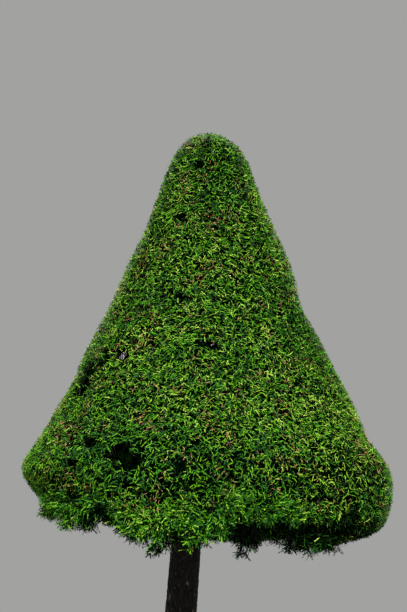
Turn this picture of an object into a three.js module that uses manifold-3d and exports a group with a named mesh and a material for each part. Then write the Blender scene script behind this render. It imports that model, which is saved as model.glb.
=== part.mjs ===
// A potted tamarind clipped to a tall round-topped cone: pot, soil, trunk, boughs and masses of foliage.
// Millimetres, +Z up. The origin is the middle of the pot's flat underside, +X is the tree's right
// and -Y its front. A turn is an angle round the crown's axis: 0 faces front and 90 degrees right.
// A share is a place on a line, from 0 where it starts to 1 where it ends.
import * as THREE from "three";
import { mergeVertices } from "three/addons/utils/BufferGeometryUtils.js";
import Module from "manifold-3d";

const wasm = await Module();
wasm.setup();

// Pot and soil
const POT_HEIGHT = 720;
const POT_FOOT_RADIUS = 465;
const POT_NECK_RADIUS = 585;
const POT_RIM_RADIUS = 635;
const POT_RIM_DEPTH = 115;
const POT_WALL = 50;
const POT_FLOOR = 60;
const POT_BEVEL = 14;
const POT_SIDES = 40;
const DRAIN_RADIUS = 18;
const DRAIN_CIRCLE = 240;
const DRAIN_SIDES = 12;
const DRAINS = 3;
const SOIL_LEVEL = 650;
const SOIL_DISH = 16;
const SOIL_FLAT_SHARE = 0.8;

// Trunk: its centre line, and its girth from the root flare to the tip
const TRUNK_LINE = [
  [-62, 0, SOIL_LEVEL],
  [-50, 8, 1150],
  [-12, 16, 1700],
  [32, 18, 2300],
  [90, -8, 3300],
  [150, -14, 4400],
  [190, 0, 5330],
];
const TRUNK_FOOT_RADIUS = 134;
const TRUNK_HEM_RADIUS = 123;
const TRUNK_TIP_RADIUS = 20;
const TRUNK_HEM_SHARE = 0.29;
const TRUNK_TAPER = 0.9;
const ROOT_FLARE = 88;
const ROOT_FLARE_HEIGHT = 170;
const ROOT_LOBES = 5;
const ROOT_LOBE_TURN = 0.6;
const ROOT_LOBE_SHARE = 0.17;
const ROOT_LOBE_HEIGHT = 260;
const TRUNK_SIDES = 20;
const TRUNK_RINGS = 22;
const TRUNK_RING_CROWDING = 1.5;

// Crown: the clipped outline as radius and height, from the apex round the rim to the inner lip
const CROWN_X = 190;
const CROWN_Y = 0;
const OUTLINE = [
  [0, 5620],
  [200, 5560],
  [343, 5370],
  [478, 4990],
  [684, 4440],
  [886, 3890],
  [1278, 3080],
  [1456, 2790],
  [1530, 2600],
  [1460, 2370],
  [1320, 2250],
  [1060, 2190],
  [800, 2165],
];
const OUTLINE_STEPS = 18;
const CROWN_SIDES = 24;
const LEAF_DEPTH = 88;
const SHELL_DEPTH = 84;

// The cone stands a little to the left below and to the right above
const LEAN_BELOW = -20;
const LEAN_ABOVE = 20;
const LEAN_START = 3400;
const LEAN_END = 4400;

// Hand clipping leaves slow swells round the cone, and the hem hangs lower or higher in some places
const SWELLS = [
  { size: 15, lobes: 3, start: 0.8, climb: 900 },
  { size: 9, lobes: 7, start: 2.1, climb: -420 },
];
const SWELL_FADE = 500;
const SWELL_LEAST_RADIUS = 300;
const HEM_DIPS = [
  { turn: 58, wide: 52, drop: 190 },
  { turn: -17, wide: 14, drop: 160 },
  { turn: 172, wide: 42, drop: 90 },
  { turn: -56, wide: 26, drop: -65 },
  { turn: -130, wide: 42, drop: -155 },
];
const HEM_TOP = 2760;
const HEM_SPAN = 360;

// Masses of foliage: each owns the part of the crown that is nearest to its middle
const MASSES = [
  { name: "top", turn: 0, height: 5620 },
  { name: "upper_left", turn: -58, height: 4560, bough: "upper" },
  { name: "upper_right", turn: 62, height: 4560, bough: "upper" },
  { name: "upper_back", turn: 180, height: 4560, bough: "upper" },
  { name: "middle_left", turn: -90, height: 3600, bough: "middle" },
  { name: "middle_front", turn: -8, height: 3600, bough: "middle" },
  { name: "middle_right", turn: 82, height: 3600, bough: "middle" },
  { name: "middle_back", turn: 172, height: 3600, bough: "middle" },
  { name: "skirt_left", turn: -64, height: 2600, bough: "skirt" },
  { name: "skirt_front", turn: -4, height: 2600, bough: "skirt" },
  { name: "skirt_right", turn: 56, height: 2600, bough: "skirt" },
  { name: "skirt_back_right", turn: 116, height: 2600, bough: "skirt" },
  { name: "skirt_back", turn: 176, height: 2600, bough: "skirt" },
  { name: "skirt_back_left", turn: -124, height: 2600, bough: "skirt" },
];
const MASS_GAP = 16;
const EDGE_CLEAR = 3;

// Boughs: girth where they leave the trunk and where the stem of a mass takes over
const BOUGHS = {
  upper: { root: 27, tip: 15, rise: 0.62, arch: 40 },
  middle: { root: 36, tip: 18, rise: 0.5, arch: 70 },
  skirt: { root: 46, tip: 21, rise: 0.24, arch: 150 },
};
const BOUGH_STAGGER = 62;
const BOUGH_BEND_SHARE = 0.55;
const BOUGH_SIDES = 7;
const BOUGH_RINGS = 4;
const COLLAR_SHARE = 0.45;
const COLLAR_LENGTH = 0.12;
const STEM_SHOWS = 70;
const STEM_RINGS = 2;
const TOP_STEM_RADIUS = 17;

// Tufts, dealt out over the crown by the golden angle: a twig out of the core, leaves at two
// places near its end, and more that grow from the core round its foot
const TUFTS = 78;
const TUFT_LEAVES = 5;
const TWIG_LEAVES = [0.78, 0.95];
const GOLDEN_ANGLE = 137.508;
const TWIG_FOOT_RADIUS = 14;
const TWIG_TIP_RADIUS = 8;
const TWIG_SIDES = 3;
const TWIG_SINK = 50;
const TWIG_TIP_DEPTH = 46;
const LEAF_LENGTH = 290;
const LEAF_LENGTH_SPREAD = 0.2;
const LEAF_DROOP = 0.25;
const LEAF_WIDTH_SHARE = 0.37;
const LEAF_THICK = 14;
const LEAF_ARCH = 0.05;
const LEAF_SINK = 16;
const CORE_LEAF_START = 0.5;
const CORE_LEAF_END = 1.35;
const LEAF_TIP_DEPTH = 30;
const LEAF_CUTS = [1, 0.78, 0.58];
const LEAST_RADIUS = 150;
const SEED = 7;

// Meshes that touch keep this gap, and corners closer than the weld distance are one
const TOUCH = 0.3;
const WELD = 1e-3;
const SEARCH_STEPS = 500;

const UP = new THREE.Vector3(0, 0, 1);
const BACK = new THREE.Vector3(0, 1, 0);
const rad = THREE.MathUtils.degToRad;
const lerp = THREE.MathUtils.lerp;
const shares = (steps) => Array.from({ length: steps + 1 }, (_, i) => i / steps);

const finish = (color, roughness) =>
  new THREE.MeshStandardMaterial({ color, roughness, metalness: 0 });
const TERRACOTTA = finish(0xa8603f, 0.85);
const EARTH = finish(0x3a2a1e, 0.95);
const BARK = finish(0x3f362d, 0.9);
const LEAF = finish(0x3f7a1c, 0.55);

// A closed geometry as a solid for joining and cutting, without the slivers at a lathe's poles
function solidOf(geometry) {
  const bare = geometry.clone();
  bare.deleteAttribute("normal");
  bare.deleteAttribute("uv");
  const merged = mergeVertices(bare, WELD);
  const corners = merged.index.array;
  const kept = [];
  for (let i = 0; i < corners.length; i += 3) {
    const [a, b, c] = [corners[i], corners[i + 1], corners[i + 2]];
    if (a !== b && b !== c && c !== a) kept.push(a, b, c);
  }
  return new wasm.Manifold(
    new wasm.Mesh({
      numProp: 3,
      vertProperties: merged.attributes.position.array,
      triVerts: new Uint32Array(kept),
    }),
  );
}

// The largest body of a solid as a named mesh, so that loose scraps are dropped
function meshOf(name, solid, material) {
  const bodies = solid.decompose().sort((a, b) => b.volume() - a.volume());
  const { vertProperties, triVerts } = bodies[0].getMesh();
  const geometry = new THREE.BufferGeometry();
  geometry.setAttribute("position", new THREE.BufferAttribute(vertProperties, 3));
  geometry.setIndex(new THREE.BufferAttribute(triVerts, 1));
  geometry.computeVertexNormals();
  const mesh = new THREE.Mesh(geometry, material);
  mesh.name = name;
  return mesh;
}

// Moves every vertex of a geometry by a rule
function reshape(geometry, rule) {
  const position = geometry.attributes.position;
  const point = new THREE.Vector3();
  for (let i = 0; i < position.count; i++) {
    point.fromBufferAttribute(position, i);
    rule(point);
    position.setXYZ(i, point.x, point.y, point.z);
  }
  return geometry;
}

// A profile of radius and height turned about the vertical line through x, y
function turned(profile, sides, x = 0, y = 0) {
  const points = profile.map(([r, z]) => new THREE.Vector2(r, z));
  return new THREE.LatheGeometry(points, sides).rotateX(Math.PI / 2).translate(x, y, 0);
}

// A tapering limb: a cylinder bent along a curve, with a ring of corners at each of the shares
// given, and its radius by a rule of the share and the angle round the limb from a given side
function limb(curve, rings, radiusAt, sides, side) {
  const geometry = new THREE.CylinderGeometry(1, 1, 1, sides, rings.length - 1);
  return reshape(geometry, (point) => {
    const along = rings[Math.round((point.y + 0.5) * (rings.length - 1))];
    const round = Math.atan2(point.x, point.z);
    const reach = Math.hypot(point.x, point.z) * radiusAt(along, round);
    const tangent = curve.getTangentAt(along);
    const normal = side.clone().cross(tangent).normalize();
    const cross = tangent.clone().cross(normal);
    point.copy(curve.getPointAt(along));
    point.addScaledVector(normal, reach * Math.cos(round));
    point.addScaledVector(cross, reach * Math.sin(round));
  });
}

// Pot and soil

const POT_INNER_FOOT = POT_FOOT_RADIUS - POT_WALL;
const POT_INNER_TOP = POT_NECK_RADIUS - POT_WALL;
const POT_INNER_HEIGHT = POT_HEIGHT - POT_BEVEL - POT_FLOOR;

// Radius of the pot's inner wall at a height
const potInside = (z) =>
  lerp(POT_INNER_FOOT, POT_INNER_TOP, (z - POT_FLOOR) / POT_INNER_HEIGHT);

function pot() {
  const neckZ = POT_HEIGHT - POT_RIM_DEPTH;
  const outside = [
    [0, 0],
    [POT_FOOT_RADIUS - POT_BEVEL, 0],
    [POT_FOOT_RADIUS, POT_BEVEL],
    [POT_NECK_RADIUS - POT_BEVEL, neckZ - POT_BEVEL],
    [POT_RIM_RADIUS - POT_BEVEL, neckZ],
    [POT_RIM_RADIUS, neckZ + POT_BEVEL],
    [POT_RIM_RADIUS, POT_HEIGHT - POT_BEVEL],
    [POT_RIM_RADIUS - POT_BEVEL, POT_HEIGHT],
  ];
  const inside = [
    [POT_INNER_TOP + POT_BEVEL, POT_HEIGHT],
    [POT_INNER_TOP, POT_HEIGHT - POT_BEVEL],
    [POT_INNER_FOOT, POT_FLOOR],
    [0, POT_FLOOR],
  ];
  let solid = solidOf(turned([...outside, ...inside], POT_SIDES));
  for (let i = 0; i < DRAINS; i++) {
    const turn = (i / DRAINS) * Math.PI * 2;
    const drain = new THREE.CylinderGeometry(DRAIN_RADIUS, DRAIN_RADIUS, POT_FLOOR * 3, DRAIN_SIDES)
      .rotateX(Math.PI / 2)
      .translate(DRAIN_CIRCLE * Math.cos(turn), DRAIN_CIRCLE * Math.sin(turn), 0);
    solid = solid.subtract(solidOf(drain));
  }
  return meshOf("pot", solid, TERRACOTTA);
}

function soil() {
  const foot = POT_FLOOR + TOUCH;
  const edge = SOIL_LEVEL - SOIL_DISH;
  const edgeRadius = potInside(edge) - TOUCH;
  const profile = [
    [0, foot],
    [potInside(foot) - TOUCH, foot],
    [edgeRadius, edge],
    [edgeRadius * SOIL_FLAT_SHARE, SOIL_LEVEL],
    [0, SOIL_LEVEL],
  ];
  return meshOf("soil", solidOf(turned(profile, POT_SIDES)), EARTH);
}

// Trunk

const trunkCurve = new THREE.CatmullRomCurve3(
  TRUNK_LINE.map((p) => new THREE.Vector3(...p)),
  false,
  "centripetal",
);

// Radius of the trunk: a slow taper to the hem of the crown, a faster one above it, and at the foot
// a flare that swells into lobes towards the roots
function trunkRadius(along, round) {
  const height = trunkCurve.getPointAt(along).z - SOIL_LEVEL;
  const below = Math.min(1, along / TRUNK_HEM_SHARE);
  const above = Math.max(0, (along - TRUNK_HEM_SHARE) / (1 - TRUNK_HEM_SHARE));
  const thinning = (TRUNK_HEM_RADIUS - TRUNK_TIP_RADIUS) * Math.pow(above, TRUNK_TAPER);
  const stem = lerp(TRUNK_FOOT_RADIUS, TRUNK_HEM_RADIUS, below) - thinning;
  const flare = ROOT_FLARE * Math.exp(-height / ROOT_FLARE_HEIGHT);
  const swell = ROOT_LOBE_SHARE * Math.exp(-height / ROOT_LOBE_HEIGHT);
  return (stem + flare) * (1 + swell * Math.cos(ROOT_LOBES * round + ROOT_LOBE_TURN));
}

// The trunk, thicker all round by a margin, cut flat just above the soil
function trunkSolid(margin) {
  const rings = shares(TRUNK_RINGS).map((share) => Math.pow(share, TRUNK_RING_CROWDING));
  const radiusAt = (along, round) => trunkRadius(along, round) + margin;
  const whole = solidOf(limb(trunkCurve, rings, radiusAt, TRUNK_SIDES, BACK));
  return whole.trimByPlane(UP.toArray(), SOIL_LEVEL + TOUCH);
}

const clearTrunk = trunkSolid(TOUCH);

function trunkAt(z) {
  const share = shares(SEARCH_STEPS).find((s) => trunkCurve.getPointAt(s).z >= z);
  return trunkCurve.getPointAt(share);
}

// Crown outline

const outline = new THREE.SplineCurve(OUTLINE.map(([r, z]) => new THREE.Vector2(r, z)));
const outlineLength = outline.getLength();

// How far hand clipping swells the crown outwards, and how far its hem hangs down
function swellAt(turn, z) {
  const fade = Math.min(1, (OUTLINE[0][1] - z) / SWELL_FADE);
  const waves = SWELLS.map((w) => w.size * Math.sin(w.lobes * turn + w.start + z / w.climb));
  return fade * waves.reduce((a, b) => a + b);
}

function hemDrop(turn, z) {
  const low = THREE.MathUtils.smoothstep(HEM_TOP - z, 0, HEM_SPAN);
  const dips = HEM_DIPS.map((dip) => {
    const off = turn - rad(dip.turn);
    const apart = Math.atan2(Math.sin(off), Math.cos(off)) / rad(dip.wide);
    return dip.drop * Math.exp(-apart * apart);
  });
  return low * dips.reduce((a, b) => a + b);
}

// How far the cone stands to the right at a height
const leanAt = (z) =>
  lerp(LEAN_BELOW, LEAN_ABOVE, THREE.MathUtils.smoothstep(z, LEAN_START, LEAN_END));

// Carries a point from a plain turned crown to the clipped one
function clip(point) {
  const x = point.x - CROWN_X;
  const y = point.y - CROWN_Y;
  const radius = Math.hypot(x, y);
  const turn = Math.atan2(x, -y);
  const grown = radius * (1 + swellAt(turn, point.z) / Math.max(radius, SWELL_LEAST_RADIUS));
  point.x = CROWN_X + leanAt(point.z) + grown * Math.sin(turn);
  point.y = CROWN_Y - grown * Math.cos(turn);
  point.z -= hemDrop(turn, point.z);
}

// The outline's radius and height at a share of its length, moved inwards by a depth
function inset(share, depth) {
  const point = outline.getPointAt(share);
  const along = outline.getTangentAt(share);
  return [Math.max(0, point.x + along.y * depth), point.y - along.x * depth];
}

// A point of the clipped crown, at a depth under its outline
function crownPoint(share, turn, depth) {
  const [r, z] = inset(share, depth);
  const point = new THREE.Vector3(CROWN_X + r * Math.sin(turn), CROWN_Y - r * Math.cos(turn), z);
  clip(point);
  return point;
}

// The dense shell that the leaves stand out of, open below round the trunk
function shell() {
  const outer = shares(OUTLINE_STEPS).map((share) => inset(share, LEAF_DEPTH));
  const inner = shares(OUTLINE_STEPS / 2).map((share) => inset(share, LEAF_DEPTH + SHELL_DEPTH));
  const profile = [...inner, ...outer.reverse()];
  return solidOf(reshape(turned(profile, CROWN_SIDES, CROWN_X, CROWN_Y), clip));
}

// The crown's surface that lies above each step of the outline, as a running total
const SURFACE_STEPS = 200;
const surface = [0];
for (const share of shares(SURFACE_STEPS).slice(1)) {
  surface.push(surface[surface.length - 1] + outline.getPointAt(share).x);
}

// The share of the outline that has a given part of the crown's surface above it
function shareAbove(part) {
  const wanted = part * surface[SURFACE_STEPS];
  const next = surface.findIndex((total) => total >= wanted);
  const last = surface[next - 1];
  return (next - 1 + (wanted - last) / (surface[next] - last)) / SURFACE_STEPS;
}

// Boughs

// A bough's line, from the heart of the trunk up over an arch to the middle of its mass
function boughCurve(mass, index) {
  const { rise, arch } = BOUGHS[mass.bough];
  const spread = Math.hypot(mass.middle.x - CROWN_X, mass.middle.y - CROWN_Y);
  const stagger = index % 2 === 0 ? BOUGH_STAGGER : -BOUGH_STAGGER;
  const root = trunkAt(mass.middle.z - rise * spread + stagger);
  const bend = root.clone().lerp(mass.middle, BOUGH_BEND_SHARE);
  bend.z += arch;
  return new THREE.QuadraticBezierCurve3(root, bend, mass.middle);
}

function boughSolid(mass) {
  const { root, tip } = BOUGHS[mass.bough];
  const radiusAt = (along) => {
    const share = along / mass.stemShare;
    return lerp(root, tip, share) + COLLAR_SHARE * root * Math.exp(-share / COLLAR_LENGTH);
  };
  const rings = shares(BOUGH_RINGS).map((share) => share * mass.stemShare);
  return solidOf(limb(mass.curve, rings, radiusAt, BOUGH_SIDES, UP)).subtract(clearTrunk);
}

// Masses of foliage

function seeded(seed) {
  let state = seed;
  return () => {
    state = (Math.imul(state, 1664525) + 1013904223) >>> 0;
    return state / 4294967296;
  };
}

// The planes that part a mass from the others, each half the gap back from the halfway plane
function walls(mass) {
  return MASSES.filter((other) => other !== mass).map((other) => {
    const normal = mass.middle.clone().sub(other.middle).normalize();
    const halfway = mass.middle.clone().add(other.middle).multiplyScalar(0.5);
    return { normal, offset: normal.dot(halfway) + MASS_GAP / 2 };
  });
}

// True where every corner of a piece is clear of the planes
function keepsIn(geometry, planes) {
  const position = geometry.attributes.position;
  const point = new THREE.Vector3();
  for (let i = 0; i < position.count; i++) {
    point.fromBufferAttribute(position, i);
    if (planes.some(({ normal, offset }) => normal.dot(point) < offset + EDGE_CLEAR)) return false;
  }
  return true;
}

// Turns a piece so that its X runs from one point towards another, with its Z near a given way
function aim(geometry, from, to, way) {
  const x = to.clone().sub(from).normalize();
  const y = way.clone().cross(x).normalize();
  const z = x.clone().cross(y);
  return geometry.applyMatrix4(new THREE.Matrix4().makeBasis(x, y, z).setPosition(from));
}

// Where tuft number index stands, and what its seeded leaves are like
function tuft(index, random) {
  const share = shareAbove((index + 0.5) / TUFTS);
  const turn = rad(GOLDEN_ANGLE * index);
  const start = 360 * random();
  const leaves = Array.from({ length: TUFT_LEAVES }, (_, i) => {
    const spin = rad(start + (360 / TUFT_LEAVES) * (i + 0.5 * random()));
    const spread = 1 + LEAF_LENGTH_SPREAD * (2 * random() - 1);
    const length = LEAF_LENGTH * spread * (1 + LEAF_DROOP * Math.cos(spin));
    return { spin, length, depth: LEAF_TIP_DEPTH * random(), onTwig: TWIG_LEAVES[i] };
  });
  const foot = crownPoint(share, turn, LEAF_DEPTH + TWIG_SINK);
  const tip = crownPoint(share, turn, TWIG_TIP_DEPTH);
  return { share, turn, foot, tip, leaves };
}

function twigGeometry({ foot, tip }) {
  const length = foot.distanceTo(tip);
  const twig = new THREE.CylinderGeometry(TWIG_TIP_RADIUS, TWIG_FOOT_RADIUS, length, TWIG_SIDES)
    .rotateZ(-Math.PI / 2)
    .translate(length / 2, 0, 0);
  const across = Math.abs(tip.z - foot.z) > length / 2 ? BACK : UP;
  return aim(twig, foot, tip, across);
}

// The point of the crown at a distance from a place, spin from straight down, at a depth
function pointBeside({ share, turn }, spin, distance, depth) {
  const radius = Math.max(LEAST_RADIUS, outline.getPointAt(share).x);
  const down = Math.abs(share + (distance * Math.cos(spin)) / outlineLength);
  return crownPoint(Math.min(1, down), turn + (distance * Math.sin(spin)) / radius, depth);
}

// A leaf of eight faces, from its place on the twig, or in the core beside the twig, to a point
// just under the clipped outline: cut shortens it
function leafGeometry(own, { spin, length, depth, onTwig }, cut) {
  const { foot, tip } = own;
  const start = CORE_LEAF_START * length;
  const end = onTwig ? cut * length : start + cut * (CORE_LEAF_END * length - start);
  const point = pointBeside(own, spin, end, depth);
  const from = onTwig
    ? foot.clone().lerp(tip, onTwig)
    : pointBeside(own, spin, start, LEAF_DEPTH + LEAF_SINK);
  const long = from.distanceTo(point);
  const leaf = new THREE.OctahedronGeometry(1)
    .scale(long / 2, (long * LEAF_WIDTH_SHARE) / 2, LEAF_THICK / 2)
    .translate(long / 2, 0, 0);
  reshape(leaf, (corner) => {
    corner.z += LEAF_ARCH * long * Math.sin((Math.PI * corner.x) / long);
  });
  return aim(leaf, from, point, tip.clone().sub(foot));
}

// The stem by which a mass grows on from its bough, or from the trunk's tip
function stemSolid(mass) {
  if (mass.bough) {
    const from = mass.stemShare + TOUCH / mass.curve.getLength();
    const rings = shares(STEM_RINGS).map((share) => lerp(from, 1, share));
    return solidOf(limb(mass.curve, rings, () => BOUGHS[mass.bough].tip, BOUGH_SIDES, UP));
  }
  const tip = trunkCurve.getPointAt(1);
  const way = trunkCurve.getTangentAt(1);
  const end = tip.clone().addScaledVector(way, mass.middle.z - tip.z);
  const line = new THREE.LineCurve3(tip.clone().addScaledVector(way, TOUCH), end);
  return solidOf(limb(line, [0, 1], () => TOP_STEM_RADIUS, BOUGH_SIDES, BACK));
}

// A mass: its part of the shell, its stem, and the twigs and leaves that keep to its own space
function massSolid(mass, tufts, shellSolid) {
  const planes = walls(mass);
  const trim = (solid, { normal, offset }) => solid.trimByPlane(normal.toArray(), offset);
  const parts = [planes.reduce(trim, shellSolid), stemSolid(mass)];
  for (const own of tufts) {
    const twig = twigGeometry(own);
    if (!keepsIn(twig, planes)) continue;
    parts.push(solidOf(twig));
    for (const leaf of own.leaves) {
      const cuts = LEAF_CUTS.map((cut) => leafGeometry(own, leaf, cut));
      const kept = cuts.find((geometry) => keepsIn(geometry, planes));
      if (kept) parts.push(solidOf(kept));
    }
  }
  return wasm.Manifold.union(parts);
}

// The plant

for (const mass of MASSES) {
  const share = shares(SEARCH_STEPS).find((s) => outline.getPointAt(s).y <= mass.height);
  mass.middle = crownPoint(share, rad(mass.turn), LEAF_DEPTH + SHELL_DEPTH / 2);
}
const nearestMass = (point) =>
  MASSES.reduce((a, b) => (a.middle.distanceTo(point) < b.middle.distanceTo(point) ? a : b));

const plant = new THREE.Group();
plant.add(pot(), soil(), meshOf("trunk", trunkSolid(0), BARK));

const crownShell = shell();
const random = seeded(SEED);
const tufts = Array.from({ length: TUFTS }, (_, i) => tuft(i, random));

MASSES.forEach((mass, index) => {
  if (mass.bough) {
    mass.curve = boughCurve(mass, index);
    mass.stemShare = 1 - (SHELL_DEPTH / 2 + STEM_SHOWS) / mass.curve.getLength();
    plant.add(meshOf(`bough_${mass.name}`, boughSolid(mass), BARK));
  }
  const own = tufts.filter(({ tip }) => nearestMass(tip) === mass);
  plant.add(meshOf(`foliage_${mass.name}`, massSolid(mass, own, crownShell), LEAF));
});

export default plant;
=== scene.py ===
"""A potted tamarind clipped to a tall round-topped cone.

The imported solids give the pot, the soil, the trunk, the boughs and the clipped outline. This file dresses
them: bark with real relief, a weathered terracotta pot, crumbly soil, and a crown grown from the boughs
by branches, twigs, shoots and leaves. Everything is in metres, +Z up. A turn is an angle round the
crown's axis in degrees, 0 to the front and 90 to the right. A share is a place on a line, from 0 to 1.
"""

import math

import bpy
import numpy as np
from bpy.props import FloatProperty, FloatVectorProperty, IntProperty, PointerProperty
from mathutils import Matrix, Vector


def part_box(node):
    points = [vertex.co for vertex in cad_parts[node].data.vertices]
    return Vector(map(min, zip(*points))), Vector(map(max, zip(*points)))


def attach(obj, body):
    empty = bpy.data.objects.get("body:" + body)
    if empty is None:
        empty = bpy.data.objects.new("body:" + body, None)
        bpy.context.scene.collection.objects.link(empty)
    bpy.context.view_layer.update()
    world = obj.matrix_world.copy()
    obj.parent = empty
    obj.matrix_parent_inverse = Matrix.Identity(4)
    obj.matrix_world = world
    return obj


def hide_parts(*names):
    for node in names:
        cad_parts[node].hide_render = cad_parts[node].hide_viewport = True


bl_info = {
    "name": "Clipped Tamarind",
    "version": (1, 0, 0),
    "blender": (4, 5, 0),
    "location": "3D View > Sidebar > Tamarind",
    "description": "Dresses a clipped tamarind in a pot: bark, twigs, leaves, terracotta and soil",
    "category": "Add Mesh",
}

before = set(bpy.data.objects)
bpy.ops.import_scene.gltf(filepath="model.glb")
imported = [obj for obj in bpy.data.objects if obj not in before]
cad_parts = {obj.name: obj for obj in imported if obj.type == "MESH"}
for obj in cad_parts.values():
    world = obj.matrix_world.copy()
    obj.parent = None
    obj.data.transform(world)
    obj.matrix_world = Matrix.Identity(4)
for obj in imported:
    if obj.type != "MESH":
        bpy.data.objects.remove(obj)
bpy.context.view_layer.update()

# Crown: its axis, and its clipped outline as radius and height, from the apex to the inner lip
CROWN_AXIS = (0.19, 0.0)
OUTLINE = (
    (0.0, 5.62),
    (0.2, 5.56),
    (0.343, 5.37),
    (0.478, 4.99),
    (0.684, 4.44),
    (0.886, 3.89),
    (1.278, 3.08),
    (1.456, 2.79),
    (1.53, 2.6),
    (1.46, 2.37),
    (1.32, 2.25),
    (1.06, 2.19),
    (0.8, 2.165),
)

# The clipping's swells: size, lobes, start, and the climb in which they turn by a radian. They fade in
# over a height below the apex, and inside a least radius. The lean: how far the cone stands to the right
# low down and high up, and the heights between which that changes
SWELLS = ((0.015, 3, 0.8, 0.9), (0.009, 7, 2.1, -0.42))
SWELL_FADE = 0.5
SWELL_LEAST_RADIUS = 0.3
LEAN = (-0.02, 0.02, 3.4, 4.4)

# Dips of the hem: middle and width as turns, and depth. They start at the hem's top and are full a span
# below it. The masses' middles lie at the core's depth
HEM_DIPS = ((58, 52, 0.19), (-17, 14, 0.16), (172, 42, 0.09), (-56, 26, -0.065), (-130, 42, -0.155))
HEM_TOP = 2.76
HEM_SPAN = 0.36
CORE_DEPTH = 0.13

# Masses: the turn and height of each one's middle, and the kind of bough that carries it
MASSES = {
    "top": (0, 5.62, None),
    "upper_left": (-58, 4.56, "upper"),
    "upper_right": (62, 4.56, "upper"),
    "upper_back": (180, 4.56, "upper"),
    "middle_left": (-90, 3.6, "middle"),
    "middle_front": (-8, 3.6, "middle"),
    "middle_right": (82, 3.6, "middle"),
    "middle_back": (172, 3.6, "middle"),
    "skirt_left": (-64, 2.6, "skirt"),
    "skirt_front": (-4, 2.6, "skirt"),
    "skirt_right": (56, 2.6, "skirt"),
    "skirt_back_right": (116, 2.6, "skirt"),
    "skirt_back": (176, 2.6, "skirt"),
    "skirt_back_left": (-124, 2.6, "skirt"),
}

# Boughs: radius at the trunk and at the mass, the rise over the spread, the arch. They start higher and
# lower in turn by the stagger, bend at a share of their length, and are thicker by a share at the collar,
# which falls off over a share of the length. Their tips are drawn finer than the solids'
BOUGHS = {
    "upper": (0.027, 0.015, 0.62, 0.04),
    "middle": (0.036, 0.018, 0.5, 0.07),
    "skirt": (0.046, 0.021, 0.24, 0.15),
}
BOUGH_STAGGER = 0.062
BOUGH_BEND_SHARE = 0.55
COLLAR_SHARE = 0.45
COLLAR_LENGTH = 0.12
BOUGH_TIP_SCALE = 0.75

# Trunk: its line, its radii at the soil, the hem and the tip, and the flare of its foot. Its lobes have a
# number, a start, a size and the height over which they fall off. The top mass's stem starts at a share
SOIL_LEVEL = 0.65
TRUNK_LINE = (
    (-0.062, 0.0, SOIL_LEVEL),
    (-0.05, 0.008, 1.15),
    (-0.012, 0.016, 1.7),
    (0.032, 0.018, 2.3),
    (0.09, -0.008, 3.3),
    (0.15, -0.014, 4.4),
    (0.19, 0.0, 5.33),
)
TRUNK_RADII = (0.134, 0.123, 0.02)
TRUNK_HEM_SHARE = 0.29
TRUNK_TAPER = 0.9
ROOT_FLARE = 0.088
ROOT_FLARE_HEIGHT = 0.17
ROOT_LOBES = (5, 0.6, 0.17, 0.26)
TOP_STEM_SHARE = 0.93

# Bark: how far the trunk's goes on under the soil, where its close rings start and end as shares of the
# line, how many rings are close and how many wide, and the number of points in a ring
TRUNK_BURIED = 0.03
CLOSE_RINGS = (-0.004, 0.34, 250)
WIDE_RINGS = 130
TRUNK_AROUND = 150
BOUGH_RINGS = 64
BOUGH_AROUND = 26

# Plates: their least size on thin limbs for each unit of that on the trunk, how far the cracks between
# them bend round and along the limb, and the limb's swelling for each unit of the cracks' depth
LEAST_PLATE = 0.16
CRACK_BENDS = (0.35, 0.5)
BARK_SWELL = 0.3

# How far from the middle of a crack its edge starts and ends, in plates, and a plate's middle height and
# the size of its grain for each unit of the cracks' depth
CRACK_EDGE = (0.02, 0.42)
PLATE_HEIGHTS = (0.82, 0.18)

# Rows of a lattice of noise, and its columns where it needn't repeat sooner
LATTICE = 512

# The eye, and the open places in the crown that it sees: turn, height and radius. The ways go right
# through the crown along the line of sight
EYE = (0.155, -9.9, 1.55)
WAYS = (
    (-9.6, 5.17, 0.012),
    (-22.5, 4.64, 0.012),
    (3.0, 3.47, 0.012),
    (-36.2, 3.42, 0.022),
    (-34.6, 3.42, 0.02),
    (-14.0, 3.87, 0.01),
)
HOLLOWS = (
    (-17.0, 5.22, 0.055),
    (-26.5, 4.7, 0.07),
    (19.5, 3.93, 0.03),
    (11.0, 3.59, 0.035),
    (-1.0, 3.5, 0.066),
    (3.0, 3.47, 0.05),
    (-57.0, 3.4, 0.11),
    (-47.0, 3.42, 0.09),
    (-54.0, 3.31, 0.12),
    (-51.0, 3.2, 0.1),
    (-60.0, 3.21, 0.08),
    (-35.0, 2.73, 0.085),
    (-3.0, 2.7, 0.04),
    (-25.0, 2.66, 0.09),
    (-21.0, 2.62, 0.1),
    (-17.5, 2.69, 0.07),
    (-6.5, 2.58, 0.05),
    (8.0, 2.6, 0.035),
    (-40.0, 2.54, 0.06),
    (-21.0, 2.5, 0.045),
    (34.5, 2.45, 0.04),
    (-52.0, 2.4, 0.045),
    (-8.0, 2.41, 0.05),
    (-30.0, 2.35, 0.05),
)
HOLLOW_FLATNESS = 1.5
HOLLOW_MIDDLE_DEPTH = 0.02

# Hollows on the far side: their number, and the ranges of their turn, height and radius
HIDDEN_HOLLOWS = 22
HIDDEN_RANGES = ((75, 285), (2.6, 5.0), (0.05, 0.09))

# How much further than its radius shoots, leaves and inner leaves keep clear of a way
SHOOT_CLEARANCE = 0.01
LEAF_CLEARANCE = 0.005
INNER_CLEARANCE = 0.02

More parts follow.
